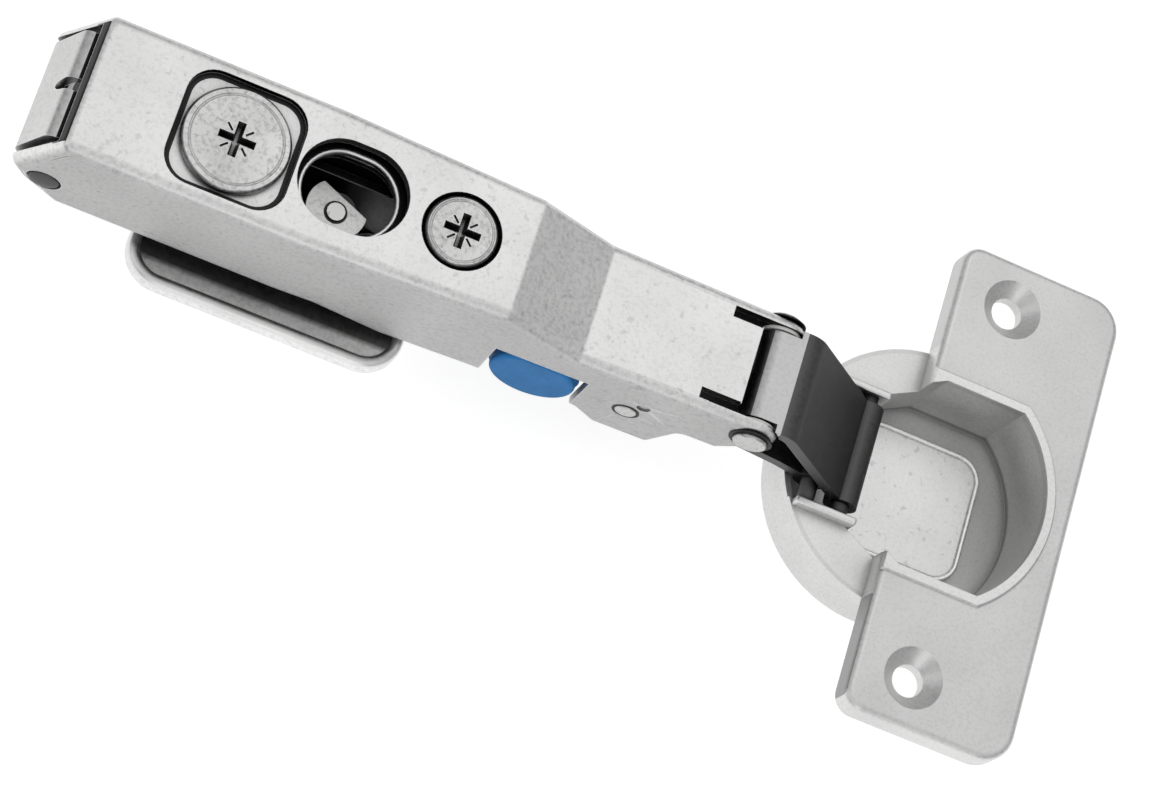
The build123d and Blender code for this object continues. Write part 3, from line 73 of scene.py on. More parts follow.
# %% [markdown]
# ## Places from the model
# Most of what is added sits on a pin or a screw. Its place could be typed in, but it is read
# from the model instead: a joint says where it turns, and a part's box has its middle in it.
# Each place is then written once, and a piece can't miss its pin.

# %% Where the joints and the parts lie
joints = {joint["name"]: joint for joint in frame["record"]["behaviour"]["joints"]}


def turning_point(name):
    """Where a joint turns, in millimetres."""
    return tuple(round(value / MM, 4) for value in joints[name]["pos_m"])


def middle_of(node):
    """The middle of a part's box, in millimetres."""
    return tuple(round((low + high) / 2 / MM, 4) for low, high in zip(*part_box(node)))


depth_screw = turning_point("depth_cam_turn")
height_screw = turning_point("height_cam_turn")
side_screw = turning_point("side_screw_turn")
front_pin = turning_point("door_fold")
rear_pin = middle_of("rear_link_pin")
print("screws at x", depth_screw[0], height_screw[0], side_screw[0], "pins", front_pin, rear_pin)

# %% [markdown]
# ## Camera
# A long lens from high over the near side shows the arm's top, its near wall and the inside
# of the cup at once. A hinge is small, so the camera stands under half a metre away and the
# lens is about 115 mm: with a short lens the cup would look swollen against the arm.

# %% Camera
SENSOR_WIDTH = 36.0
LENS_LENGTH = 114.9
CAMERA_PLACE = (-0.0434, -0.1806, 0.4243)
CAMERA_TURN = (0.31203, -0.30421, 0.29574)
camera_data = bpy.data.cameras.new("hinge_camera")
camera_data.sensor_width = SENSOR_WIDTH
camera_data.lens = LENS_LENGTH
camera_data.clip_start = 0.02
camera = bpy.data.objects.new("hinge_camera", camera_data)
camera.location = CAMERA_PLACE
camera.rotation_euler = Euler(CAMERA_TURN, "XYZ")
bpy.context.scene.collection.objects.link(camera)
bpy.context.scene.camera = camera
bpy.context.scene.view_settings.view_transform = "Standard"
print("camera", tuple(camera.location))

# %% [markdown]
# ## Helpers for node trees
# Materials, light and small forms are all node trees. Each node could be added and wired line
# by line, but a material has dozens of them. So one helper adds a node with its settings and
# its wires in a single call, and a few more stand for the sums that come back in every tree.

# %% A node, a material, a sum
def feed(tree, socket, value):
    """Give a socket a constant, or wire another node's output to it."""
    if isinstance(value, bpy.types.NodeSocket):
        tree.links.new(value, socket)
    else:
        socket.default_value = value


def put(tree, kind, **settings):
    """A new node; a setting that starts with in_ goes to the socket of that name or number."""
    node = tree.nodes.new(kind)
    for key, value in settings.items():
        if key.startswith("in_"):
            socket = key[3:]
            socket = int(socket) if socket.isdigit() else socket.replace("_", " ")
            feed(tree, node.inputs[socket], value)
        else:
            setattr(node, key, value)
    return node


def fresh_material(name):
    """A material with an empty tree and an output."""
    material = bpy.data.materials.new(name)
    material.use_nodes = True
    material.node_tree.nodes.clear()
    return material, material.node_tree, put(material.node_tree, "ShaderNodeOutputMaterial")


def maths(tree, operation, *values):
    """A maths node's output; each value is a number or another node's output."""
    node = put(tree, "ShaderNodeMath", operation=operation)
    for socket, value in zip(node.inputs, values):
        feed(tree, socket, value)
    return node.outputs[0]


def grey(level):
    """A neutral colour."""
    return (level, level, level, 1)


print("helpers: feed, put, fresh_material, maths, grey")

# %% [markdown]
# ## Floor
# The hinge is shown on white paper. A white surface under strong lamps would wash out the pale
# plate, so the paper is a mid grey that glows a little, and the glow is there only for what the
# camera or a reflection sees. The grey keeps the shadow. The paper lies a little under the cup,
# the lowest part, because the arm can tilt down and take the cup with it.

# %% Pale floor
FLOOR_REACH = 1.6
FLOOR_MARGIN = 0.00025
PAPER_TONE = 0.55
PAPER_GLOW = 0.74
tilt_reach = cad_box[1][0] - turning_point("arm_tilt")[0] * MM
tilt_angle = math.radians(joints["arm_tilt"]["range_deg"][1])
floor_level = cad_box[0][2] - tilt_reach * math.sin(tilt_angle) - FLOOR_MARGIN
quarters = ((-1, -1), (1, -1), (1, 1), (-1, 1))
corners = [(x * FLOOR_REACH, y * FLOOR_REACH, floor_level) for x, y in quarters]
floor_mesh = bpy.data.meshes.new("studio_floor")
floor_mesh.from_pydata(corners, [], [(0, 1, 2, 3)])
floor = bpy.data.objects.new("studio_floor", floor_mesh)
bpy.context.scene.collection.objects.link(floor)
paper, tree, output = fresh_material("white_paper")
ray = put(tree, "ShaderNodeLightPath")
seen = maths(tree, "MAXIMUM", ray.outputs["Is Camera Ray"], ray.outputs["Is Glossy Ray"])
seen = maths(tree, "MAXIMUM", seen, ray.outputs["Is Transmission Ray"])
matt = put(tree, "ShaderNodeBsdfDiffuse", in_Color=grey(PAPER_TONE))
glow = put(tree, "ShaderNodeEmission", in_Color=grey(1.0), in_Strength=PAPER_GLOW)
bright = put(tree, "ShaderNodeAddShader", in_0=matt.outputs[0], in_1=glow.outputs[0])
pick = put(tree, "ShaderNodeMixShader", in_0=seen, in_1=matt.outputs[0], in_2=bright.outputs[0])
feed(tree, output.inputs["Surface"], pick.outputs[0])
floor.data.materials.append(paper)
print("floor at", round(floor_level / MM, 3), "mm")

# %% [markdown]
# ## Light
# Plated metal shows what stands round it. A few bare lamps would give it hard white spots, so
# most of the light is a pale dome, bright overhead and dimmer near the horizon: tops come out
# bright, walls and the step of the arm grey. Three large soft lamps add a direction.

# %% Dome of light
HORIZON_TONE = (0.30, 0.30, 0.305, 1)
OVERHEAD_TONE = grey(0.95)
OVERHEAD_HEIGHT = 0.95
DOME_STRENGTH = 0.8
world = bpy.data.worlds.new("studio_dome")
bpy.context.scene.world = world
world.use_nodes = True
tree = world.node_tree
tree.nodes.clear()
direction = put(tree, "ShaderNodeTexCoord")
height = put(tree, "ShaderNodeSeparateXYZ", in_0=direction.outputs["Generated"])
levels = put(tree, "ShaderNodeValToRGB", in_0=height.outputs["Z"])
horizon, overhead = levels.color_ramp.elements
horizon.position, horizon.color = 0.0, HORIZON_TONE
overhead.position, overhead.color = OVERHEAD_HEIGHT, OVERHEAD_TONE
dome = put(tree, "ShaderNodeBackground", in_Color=levels.outputs[0], in_Strength=DOME_STRENGTH)
backdrop = put(tree, "ShaderNodeBackground", in_Color=grey(1.0), in_Strength=1.0)
ray = put(tree, "ShaderNodeLightPath")
pick = put(tree, "ShaderNodeMixShader", in_0=ray.outputs["Is Camera Ray"], in_1=dome.outputs[0],
           in_2=backdrop.outputs[0])
put(tree, "ShaderNodeOutputWorld", in_Surface=pick.outputs[0])
print("dome strength", DOME_STRENGTH)

# %% Soft lamps
LAMP_AIM = (0.03, 0, 0.01)


def soft_lamp(name, place, size, power):
    """A square area lamp that faces the middle of the hinge."""
    lamp = bpy.data.lights.new(name, "AREA")
    lamp.shape = "SQUARE"
    lamp.size = size
    lamp.energy = power
    holder = bpy.data.objects.new(name, lamp)
    holder.location = place
    holder.rotation_euler = (Vector(LAMP_AIM) - Vector(place)).to_track_quat("-Z", "Y").to_euler()
    bpy.context.scene.collection.objects.link(holder)
    print(name, power, "W")


soft_lamp("back_softbox", (0.15, 0.45, 0.75), 0.55, 0.6)
soft_lamp("left_softbox", (-0.70, -0.25, 0.55), 0.5, 0.5)
soft_lamp("front_softbox", (0.12, -0.95, 0.42), 0.5, 1.1)

# %% [markdown]
# ## Plated steel
# Every pressed part is steel with a thin, satin nickel plate. The plate copies the sheet under
# it: a fine grain, faint drawing lines along the part, and edges that tumbling has rubbed, with
# a painted highlight on them as well. A picture of metal would repeat and stretch round the
# folds, so the grain is noise in the object's own coordinates, and the lines are the same noise stretched.

# %% Noise, ramps and mixed colours
def noise(tree, place, scale, detail, roughness=0.5):
    """Noise from 0 to 1 over the places on a piece."""
    node = put(tree, "ShaderNodeTexNoise", in_Vector=place, in_Scale=scale, in_Detail=detail,
               in_Roughness=roughness)
    return node.outputs["Fac"]


def ramp(tree, value, low, high, start, end):
    """A value between low and high brought to between start and end, and held there."""
    return put(tree, "ShaderNodeMapRange", in_0=value, in_1=low, in_2=high, in_3=start, in_4=end).outputs[0]


def mixed(tree, mode, amount, first, second):
    """Two colours put together; each is a constant or another node's output."""
    return put(tree, "ShaderNodeMixRGB", blend_type=mode, in_0=amount, in_1=first, in_2=second).outputs[0]


def coordinates(tree, place):
    """The x, y and z of a place, in metres."""
    split = put(tree, "ShaderNodeSeparateXYZ", in_0=place)
    return split.outputs[0], split.outputs[1], split.outputs[2]


print("helpers: noise, ramp, mixed, coordinates")

# %% [markdown]
# ## What makes plate look like plate
# Five things, each its own short function: the tone of the sheet with its pits, dark pores,
# painted shade on upright walls, rubbed edges with a painted highlight, and painted shade in
# the crevices. The edges could be chamfered in the mesh, but a broken edge is only 0.1 mm, so
# a rounded normal finds them instead: where it leaves the true normal, there is an edge.

# %% Tones, edges, crevices and relief
BLOTCH_SCALE, PORE_SCALE, LINE_SCALE, LINE_STRETCH = 95.0, 1150.0, 2600.0, 60.0
PIT_LEVELS, BLOTCH_LEVELS, PORE_LEVELS = (0.30, 0.56), (0.3, 0.7), (0.66, 0.72)     # of the noise
WALL_SHADE_LEVELS = (0.55, 0.95)         # of how far a face looks sideways
EDGE_LEVELS = (0.97, 0.85)         # of how well the rounded normal agrees with the true one
CREVICE_SHADE_LEVELS = (0.25, 0.85)         # of how open a place is
PIT_DEPTH = 3.2                    # how much deeper a pit's tone is than its speck setting
RUB_HIGHLIGHT_WIDTH = 2.2                    # how much wider the rubbed band is than the broken edge
# Painted highlight: the colour that rubbed edges are brightened towards.
RUB_HIGHLIGHT_TONE = (0.93, 0.93, 0.925, 1)
RELIEF_HEIGHT, GRIT_STRENGTH = 0.00002, 0.55


def sheet_tones(tree, place, fine, speck, blotch):
    """Darker pits in the grain, and a slow change over the sheet."""
    pits = ramp(tree, fine, *PIT_LEVELS, 1.0 - speck * PIT_DEPTH, 1.0)
    slow = ramp(tree, noise(tree, place, BLOTCH_SCALE, 2.0), *BLOTCH_LEVELS, 1.0 - blotch, 1.0 + blotch)
    return maths(tree, "MULTIPLY", pits, slow)


def pores(tree, place, spots):
    """A few dark pores in the plate."""
    return ramp(tree, noise(tree, place, PORE_SCALE, 1.0), *PORE_LEVELS, 1.0, 1.0 - spots)


def painted_wall_shade(tree, normal, wall_shade_tone):
    """Painted shade: upright sides are darker, for the shade they lie in under this light."""
    sideways = maths(tree, "ABSOLUTE", coordinates(tree, normal)[1])
    return ramp(tree, sideways, *WALL_SHADE_LEVELS, 1.0, wall_shade_tone)


def rubbed_and_highlit(tree, colour, normal, edge, rub_highlight_tone):
    """Rubbed edges with a painted highlight: brighter where the rounded normal leaves the true one, so
    along the edges.
    """
    rounded = put(tree, "ShaderNodeBevel", samples=4, in_Radius=edge * RUB_HIGHLIGHT_WIDTH)
    same = put(tree, "ShaderNodeVectorMath", operation="DOT_PRODUCT", in_0=rounded.outputs[0], in_1=normal)
    rub_highlight = ramp(tree, same.outputs["Value"], *EDGE_LEVELS, 0.0, rub_highlight_tone)
    return mixed(tree, "MIX", rub_highlight, colour, RUB_HIGHLIGHT_TONE)


def painted_crevice_shade(tree, colour, crevice, crevice_shade_tone):
    """Painted shade in the crevices; crevice is how far a wall still darkens."""
    # Painted shade: darker where other surfaces stand close by.
    close = put(tree, "ShaderNodeAmbientOcclusion", samples=6, in_Distance=crevice)
    crevice_shade = ramp(tree, close.outputs["AO"], *CREVICE_SHADE_LEVELS, crevice_shade_tone, 1.0)
    return mixed(tree, "MULTIPLY", 1.0, colour, crevice_shade)


def relief(tree, place, fine, edge, lines, line_axis):
    """The normal of grain over drawing lines over a rounded edge."""
    stretch = [LINE_SCALE, LINE_SCALE, LINE_SCALE]
    stretch[line_axis] = LINE_STRETCH
    along = put(tree, "ShaderNodeMapping", in_Vector=place, in_Scale=stretch)
    rounded = put(tree, "ShaderNodeBevel", samples=4, in_Radius=edge)
    drawn = put(tree, "ShaderNodeBump", in_Strength=lines, in_Distance=RELIEF_HEIGHT,
                in_Height=noise(tree, along.outputs[0], 1.0, 2.0), in_Normal=rounded.outputs[0])
    grit = put(tree, "ShaderNodeBump", in_Strength=GRIT_STRENGTH, in_Distance=RELIEF_HEIGHT,
               in_Height=fine, in_Normal=drawn.outputs[0])
    return grit.outputs[0]


print("layers: tones, pores, walls, edges, crevices, relief")

# %% Plated metal
finishes = {}


def plated(name, tone, roughness, grain=1800.0, lines=0.35, line_axis=0, speck=0.07, edge=0.00012,
           blotch=0.05, crevice=0.0022, crevice_shade_tone=0.10, spots=0.0, shaded=None, shade_tone=1.0,
           rub_highlight_tone=0.55, wall_shade_tone=1.0):
    """Nickel or zinc plate on steel; lengths in metres, tones from 0 to 1.

    shaded tells how much painted shade each place gets, below zero painted light, and shade_tone how dark
    the most shaded one gets.
    """
    material, tree, output = fresh_material(name)
    place = put(tree, "ShaderNodeTexCoord").outputs["Object"]
    normal = put(tree, "ShaderNodeNewGeometry").outputs["True Normal"]
    fine = noise(tree, place, grain, 3.0, 0.62)
    tones = sheet_tones(tree, place, fine, speck, blotch)
    if spots:
        tones = maths(tree, "MULTIPLY", tones, pores(tree, place, spots))
    # Painted shade from the place's mask; below zero it is painted light.
    if shaded:
        shade_amount = shaded(tree, *coordinates(tree, place))
        tones = maths(tree, "MULTIPLY", tones, maths(tree, "MULTIPLY_ADD", shade_amount, shade_tone - 1.0, 1.0))
    # Painted shade: upright walls get darker the more sideways they face.
    if wall_shade_tone < 1.0:
        tones = maths(tree, "MULTIPLY", tones, painted_wall_shade(tree, normal, wall_shade_tone))
    colour = mixed(tree, "MULTIPLY", 1.0, (*tone, 1), tones)
    # Rubbed edges with a painted highlight, then painted shade in the crevices.
    colour = painted_crevice_shade(tree, rubbed_and_highlit(tree, colour, normal, edge, rub_highlight_tone), crevice, crevice_shade_tone)
    metal = put(tree, "ShaderNodeBsdfPrincipled", in_Metallic=1.0, in_Base_Color=colour,
                in_Roughness=ramp(tree, fine, 0.25, 0.75, roughness - 0.07, roughness + 0.09),
                in_Normal=relief(tree, place, fine, edge, lines, line_axis))
    feed(tree, output.inputs["Surface"], metal.outputs[0])
    finishes[name] = material
    return material


print("plated: metal finishes")

# %% [markdown]
# ## Places with painted shade
# Folds and openings lie in shadow: the floor of the cup, the rim of the sunk seat, the plate
# under the arm. That shade, and a little light on the cup's rim, is painted into the colour.
# Each could be its own piece of mesh, but the steel is one sheet there. So a function of x, y
# and z says how much painted shade a place gets, with limits taken from the part's own edges.

# %% Tests on a place
def all_of(tree, *tests):
    """1 where every test holds."""
    held = tests[0]
    for test in tests[1:]:
        held = maths(tree, "MULTIPLY", held, test)
    return held


def between(tree, value, low, high):
    """1 where a value lies between two limits."""
    return all_of(tree, maths(tree, "GREATER_THAN", value, low), maths(tree, "LESS_THAN", value, high))


def length_of(tree, first, second):
    """The length of the slanting side over two upright ones."""
    return maths(tree, "SQRT", maths(tree, "ADD", maths(tree, "MULTIPLY", first, first),
                                     maths(tree, "MULTIPLY", second, second)))


print("tests: all_of, between, length_of")

# %% Painted shade and light on the cup
CUP_MIDDLE = (0.0853, 0.0077)      # x and z of the cup's centre, on top of its flange
CUP_TILT = math.radians(2.0)
CUP_RADIUS = 0.0177
POCKET_RADIUS = 0.01695
POCKET_TOP, POCKET_FLOOR, POCKET_FOOT = -0.0008, -0.0112, -0.0125     # over the flange's top
FLANGE_BACK = -0.00235             # along the flange, from the cup's centre
FLANGE_SKIN, RIM_FOOT = -0.0003, 0.00018
# Painted shade amounts; below zero, on the pocket's wall and rim, they are painted light.
FLOOR_SHADE, POCKET_SHADE, RIM_SHADE = 0.70, -0.22, -0.30
EDGE_SHADE, NEAR_EDGE_SHADE = 0.25, 0.90


def on_cup(tree, x, y, z):
    """Painted shade on the pocket's floor and the flange's back edge, painted light on the pocket's wall
    and rim.
    """
    x = maths(tree, "SUBTRACT", x, CUP_MIDDLE[0])
    z = maths(tree, "SUBTRACT", z, CUP_MIDDLE[1])
    cosine, sine = math.cos(CUP_TILT), math.sin(CUP_TILT)
    along = maths(tree, "SUBTRACT", maths(tree, "MULTIPLY", x, cosine), maths(tree, "MULTIPLY", z, sine))
    above = maths(tree, "ADD", maths(tree, "MULTIPLY", x, sine), maths(tree, "MULTIPLY", z, cosine))
    reach = length_of(tree, along, y)
    pocket = all_of(tree, between(tree, above, POCKET_FOOT, POCKET_TOP),
                    maths(tree, "LESS_THAN", reach, POCKET_RADIUS))
    pocket_floor = all_of(tree, pocket, maths(tree, "LESS_THAN", above, POCKET_FLOOR))
    near_more = maths(tree, "MULTIPLY_ADD", maths(tree, "LESS_THAN", y, 0.0),
                      NEAR_EDGE_SHADE - EDGE_SHADE, EDGE_SHADE)
    back_edge = all_of(tree, maths(tree, "LESS_THAN", along, FLANGE_BACK),
                       maths(tree, "GREATER_THAN", reach, CUP_RADIUS),
                       maths(tree, "LESS_THAN", above, FLANGE_SKIN), near_more)
    shade_amount = maths(tree, "MULTIPLY_ADD", pocket, POCKET_SHADE, back_edge)
    shade_amount = maths(tree, "MULTIPLY_ADD", pocket_floor, FLOOR_SHADE, shade_amount)
    return maths(tree, "MULTIPLY_ADD", maths(tree, "GREATER_THAN", above, RIM_FOOT), RIM_SHADE, shade_amount)


print("cup centre", CUP_MIDDLE)

# %% Painted shade on the links, the lever and the mounting plate
KNUCKLE_BACK, KNUCKLE_FRONT, KNUCKLE_FOOT = 0.0588, 0.0630, 0.0128
LINK_SHADE = 0.84
LEVER_EDGE = -0.03110              # x where the lever goes under the arm
BAND_HALF, BAND_LENGTH = 0.00984, 0.0168
BAND_FADE = 0.0008                 # over this width the band's edge fades
PLATE_SKIN, SADDLE_SKIN = 0.0019, 0.0024
PLATE_SHADE = 0.88


def on_link(tree, x, y, z):
    """Painted shade below and behind the outer link's knuckle and on the inner link; the knuckle keeps its
    tone.
    """
    knuckle = all_of(tree, between(tree, x, KNUCKLE_BACK, KNUCKLE_FRONT),
                     maths(tree, "GREATER_THAN", z, KNUCKLE_FOOT))
    return maths(tree, "MULTIPLY_ADD", knuckle, -LINK_SHADE, LINK_SHADE)


def on_lever(tree, x, y, z):
    """Painted shadow of the arm's rear edge, where the release lever goes under it."""
    return maths(tree, "GREATER_THAN", x, LEVER_EDGE)


def on_plate(tree, x, y, z):
    """Painted shade on the mounting plate under the arm, most of all on the saddle."""
    fade = maths(tree, "MULTIPLY_ADD", maths(tree, "ABSOLUTE", y), -1.0 / BAND_FADE, BAND_HALF / BAND_FADE)
    fade = maths(tree, "MINIMUM", maths(tree, "MAXIMUM", fade, 0.0), 1.0)
    covered = all_of(tree, fade, maths(tree, "LESS_THAN", maths(tree, "ABSOLUTE", x), BAND_LENGTH),
                     maths(tree, "GREATER_THAN", z, PLATE_SKIN))
    saddle = maths(tree, "MULTIPLY_ADD", maths(tree, "GREATER_THAN", z, SADDLE_SKIN),
                   1.0 - PLATE_SHADE, PLATE_SHADE)
    return maths(tree, "MULTIPLY", covered, saddle)


print("knuckle from", KNUCKLE_BACK, "to", KNUCKLE_FRONT)

# %% Painted shade on the arm
SEAT_HALF, SEAT_CORNER = 7.6, 3.7  # of the large screw's seat, in millimetres
SEAT_RIM_IN, SEAT_RIM_OUT = 0.00078, 0.0002
SEAT_REACH_X, SEAT_REACH_Y, SEAT_SKIN = 0.0082, 0.0079, 0.02285
OPENING_BOX = (-0.0036, 0.0115, 0.0062, 0.02292)     # back, front, half the width, skin
NOSE_BOX = (0.0500, 0.0640, 0.00672, 0.01855)
REAR_EDGE, REAR_FOOT, REAR_HALF = -0.02995, 0.0205, 0.0082


def under_top(tree, x, side, z, back, front, half, skin):
    """1 inside the box between back and front, half to each side, below the sheet's skin."""
    return all_of(tree, between(tree, x, back, front), maths(tree, "LESS_THAN", side, half),
                  maths(tree, "LESS_THAN", z, skin))


def seat_rim(tree, from_seat, side, z):
    """1 along the seat's outline, a square with round corners, below the arm's top."""
    straight = (SEAT_HALF - SEAT_CORNER) * MM
    over_x = maths(tree, "MAXIMUM", maths(tree, "SUBTRACT", from_seat, straight), 0.0)
    over_y = maths(tree, "MAXIMUM", maths(tree, "SUBTRACT", side, straight), 0.0)
    corner = SEAT_CORNER * MM
    outline = between(tree, length_of(tree, over_x, over_y), corner - SEAT_RIM_IN, corner + SEAT_RIM_OUT)
    return all_of(tree, outline, maths(tree, "LESS_THAN", z, SEAT_SKIN),
                  maths(tree, "LESS_THAN", from_seat, SEAT_REACH_X),
                  maths(tree, "LESS_THAN", side, SEAT_REACH_Y))


def on_arm(tree, x, y, z):
    """Painted shade round its sunk seat's outline, in its round opening, inside its nose and at its rear
    edge.
    """
    side = maths(tree, "ABSOLUTE", y)
    from_seat = maths(tree, "ABSOLUTE", maths(tree, "SUBTRACT", x, depth_screw[0] * MM))
    seat = seat_rim(tree, from_seat, side, z)
    opening = under_top(tree, x, side, z, *OPENING_BOX)
    nose = under_top(tree, x, side, z, *NOSE_BOX)
    rear = all_of(tree, maths(tree, "LESS_THAN", x, REAR_EDGE), maths(tree, "GREATER_THAN", z, REAR_FOOT),
                  maths(tree, "LESS_THAN", side, REAR_HALF))
    return maths(tree, "MAXIMUM", maths(tree, "MAXIMUM", seat, opening), maths(tree, "MAXIMUM", nose, rear))


print("seat half", SEAT_HALF, "corner", SEAT_CORNER)

# %% [markdown]
# ## The hinge's metals
# One works' plate isn't one grey: the arm and the mounting plate are bright, the die-cast cup
# is a little duller and has no drawing lines, the links and the adapter inside are painted dark
# for the shade they lie in, and pins are bare bright steel. One function with other settings
# keeps them a family.

# %% The metals
arm_nickel = plated("arm_nickel", (0.80, 0.80, 0.795), 0.42, spots=0.15, shaded=on_arm, shade_tone=0.05,
                    wall_shade_tone=0.60)
plate_nickel = plated("plate_nickel", (0.86, 0.86, 0.855), 0.40, shaded=on_plate, shade_tone=0.04)
cup_nickel = plated("cup_nickel", (0.72, 0.72, 0.715), 0.44, grain=2300.0, lines=0.0, speck=0.05,
                    shaded=on_cup, shade_tone=0.42, crevice_shade_tone=0.55)
cup_plate_nickel = plated("cup_plate_nickel", (0.76, 0.76, 0.755), 0.36, line_axis=1, speck=0.05,
                          spots=0.2, crevice_shade_tone=0.2)
link_steel = plated("link_steel", (0.58, 0.58, 0.582), 0.42, lines=0.8, rub_highlight_tone=0.0, shaded=on_link,
                    shade_tone=0.02)
# Near black: painted shade for the parts deep inside the arm; its edges get a strong painted highlight.
adapter_steel = plated("adapter_steel", (0.02, 0.02, 0.021), 0.5, speck=0.08, rub_highlight_tone=0.95, edge=0.0002)
lever_nickel = plated("lever_nickel", (0.62, 0.62, 0.615), 0.36, line_axis=1, shaded=on_lever,
                      shade_tone=0.03)
pin_steel = plated("pin_steel", (0.55, 0.55, 0.545), 0.30, line_axis=1, lines=0.2, spots=0.3)
screw_nickel = plated("screw_nickel", (0.64, 0.64, 0.635), 0.38, lines=0.0, speck=0.13, spots=0.25,
                      blotch=0.14)
spring_steel = plated("spring_steel", (0.25, 0.25, 0.26), 0.30, lines=0.0)
print("metals:", ", ".join(finishes))

# %% [markdown]
# ## Moulded plastic
# The damper's housing is a blue engineering plastic with the faint grain that a spark-eroded
# mould leaves. Flat colour would look like paint, so the grain is a fine bump, and a wider
# noise moves the tone a little, as flow in the mould does. The washers are left white.

# %% Plastics
MOULD_GRAIN, MOULD_FLOW, MOULD_DEPTH = 2600.0, 260.0, 0.00001


def moulded(name, tone, roughness):
    """Plain moulded plastic with an eroded grain."""
    material, tree, output = fresh_material(name)
    place = put(tree, "ShaderNodeTexCoord").outputs["Object"]
    fine = noise(tree, place, MOULD_GRAIN, 2.0)
    shade = ramp(tree, noise(tree, place, MOULD_FLOW, 2.0), 0.3, 0.7, 0.86, 1.10)
    grain = put(tree, "ShaderNodeBump", in_Strength=0.5, in_Distance=MOULD_DEPTH, in_Height=fine)
    plastic = put(tree, "ShaderNodeBsdfPrincipled", in_IOR=1.49, in_Specular_IOR_Level=0.2,
                  in_Base_Color=mixed(tree, "MULTIPLY", 1.0, (*tone, 1), shade),
                  in_Roughness=ramp(tree, fine, 0.25, 0.75, roughness - 0.06, roughness + 0.08),
                  in_Normal=grain.outputs[0])
    feed(tree, output.inputs["Surface"], plastic.outputs[0])
    finishes[name] = material


moulded("damper_blue", (0.034, 0.245, 0.62), 0.5)
moulded("damper_grey", (0.20, 0.21, 0.22), 0.45)
moulded("washer_white", (0.80, 0.80, 0.77), 0.45)
print("finishes:", len(finishes))

# %% [markdown]
# ## A finish for each part
# The model's record names a material slot for every part. The finishes carry the same names,
# so a loop can hand them out, and no part is forgotten as it might be in a list by hand.

# %% Give each part its finish
for part in frame["record"]["subparts"]:
    for holder in nodes[part["node"]].material_slots:
        holder.material = finishes[part["material_slot"]]

# %% [markdown]
# ## Helpers for the small pieces
# A piece is a mesh whose place is in its vertices, one material and the body it moves with.
# Straight-sided forms are prisms over a flat outline, which need fewer lines than a modelled
# box and can have any outline.

# %% A piece on a body, a prism, outlines
def piece(name, mesh, finish, body):
    """Show a finished mesh that moves with a body."""
    made = bpy.data.objects.new(name, mesh)
    bpy.context.scene.collection.objects.link(made)
    mesh.materials.clear()
    mesh.materials.append(finish)
    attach(made, body)
    print(name, "faces:", len(mesh.polygons))
    return made


def prism(outline, low, high, name):
    """A closed straight prism over a flat outline; lengths in millimetres."""
    shape = bmesh.new()
    bottom = shape.faces.new([shape.verts.new((x * MM, y * MM, low * MM)) for x, y in outline])
    raised = bmesh.ops.extrude_face_region(shape, geom=[bottom])
    moved = [part for part in raised["geom"] if isinstance(part, bmesh.types.BMVert)]
    bmesh.ops.translate(shape, vec=(0, 0, (high - low) * MM), verts=moved)
    bmesh.ops.recalc_face_normals(shape, faces=shape.faces)
    mesh = bpy.data.meshes.new(name)
    shape.to_mesh(mesh)
    shape.free()
    return mesh


def block(back, front, right, left, low, high, name):
    """A box between its limits along x, y and z, in millimetres."""
    return prism([(back, right), (front, right), (front, left), (back, left)], low, high, name)


def round_outline(middle, radius, steps=40):
    """A circle's outline, in millimetres."""
    return [(middle[0] + radius * math.cos(2 * math.pi * step / steps),
             middle[1] + radius * math.sin(2 * math.pi * step / steps)) for step in range(steps)]


def rounded_square(middle, half, corner, steps=8):
    """The outline of a square with round corners, in millimetres."""
    outline = []
    for quarter in range(4):
        angle = math.pi / 2 * quarter
        for step in range(steps + 1):
            swing = math.pi / 2 * step / steps
            x = half - corner + corner * math.cos(swing)
            y = half - corner + corner * math.sin(swing)
            outline.append((middle[0] + x * math.cos(angle) - y * math.sin(angle),
                            middle[1] + x * math.sin(angle) + y * math.cos(angle)))
    return outline


print("forms: piece, prism, block, round_outline, rounded_square")

# %% [markdown]
# ## Cutting a copied part
# The model's own parts stay as they are, because the simulation's bodies are made from them. A
# part that needs a groove or a notch is copied, its loose triangles are joined, and cutters
# take their shape out of it. A boolean keeps the sheet's thickness and folds, which a bump or a
# painted line wouldn't give. The copy then stands in for the part.

# %% Copy and cut
def copied(node):
    """A copy of a solid's mesh with its loose triangles joined."""
    shape = bmesh.new()
    shape.from_mesh(nodes[node].data)
    bmesh.ops.remove_doubles(shape, verts=shape.verts, dist=1e-7)
    mesh = bpy.data.meshes.new(node + "_copy")
    shape.to_mesh(mesh)
    shape.free()
    return mesh


def plain_mesh(holder):
    """The mesh that an object's modifiers make."""
    bpy.context.view_layer.update()
    return bpy.data.meshes.new_from_object(holder.evaluated_get(bpy.context.evaluated_depsgraph_get()))


def cut(mesh, cutters):
    """The mesh less every cutter."""
    blank = bpy.data.objects.new("blank", mesh)
    bpy.context.scene.collection.objects.link(blank)
    tools = [bpy.data.objects.new("cutter", cutter) for cutter in cutters]
    for tool in tools:
        bpy.context.scene.collection.objects.link(tool)
        step = blank.modifiers.new("cut", "BOOLEAN")
        step.operation = "DIFFERENCE"
        step.solver = "EXACT"
        step.object = tool
    result = plain_mesh(blank)
    for thing in (blank, *tools):
        bpy.data.objects.remove(thing)
    return result


print("helpers: copied, plain_mesh, cut")

# %% [markdown]
# ## The arm's sunk seat and the gap at the nose
# The large screw lies in a pressed seat whose outline is a square with round corners, so dark
# corners show round the round head. The tongue ends a little short of the rolled knuckle, and a
# notch on each side parts it from the walls. All four are cut out of a copy of the arm.

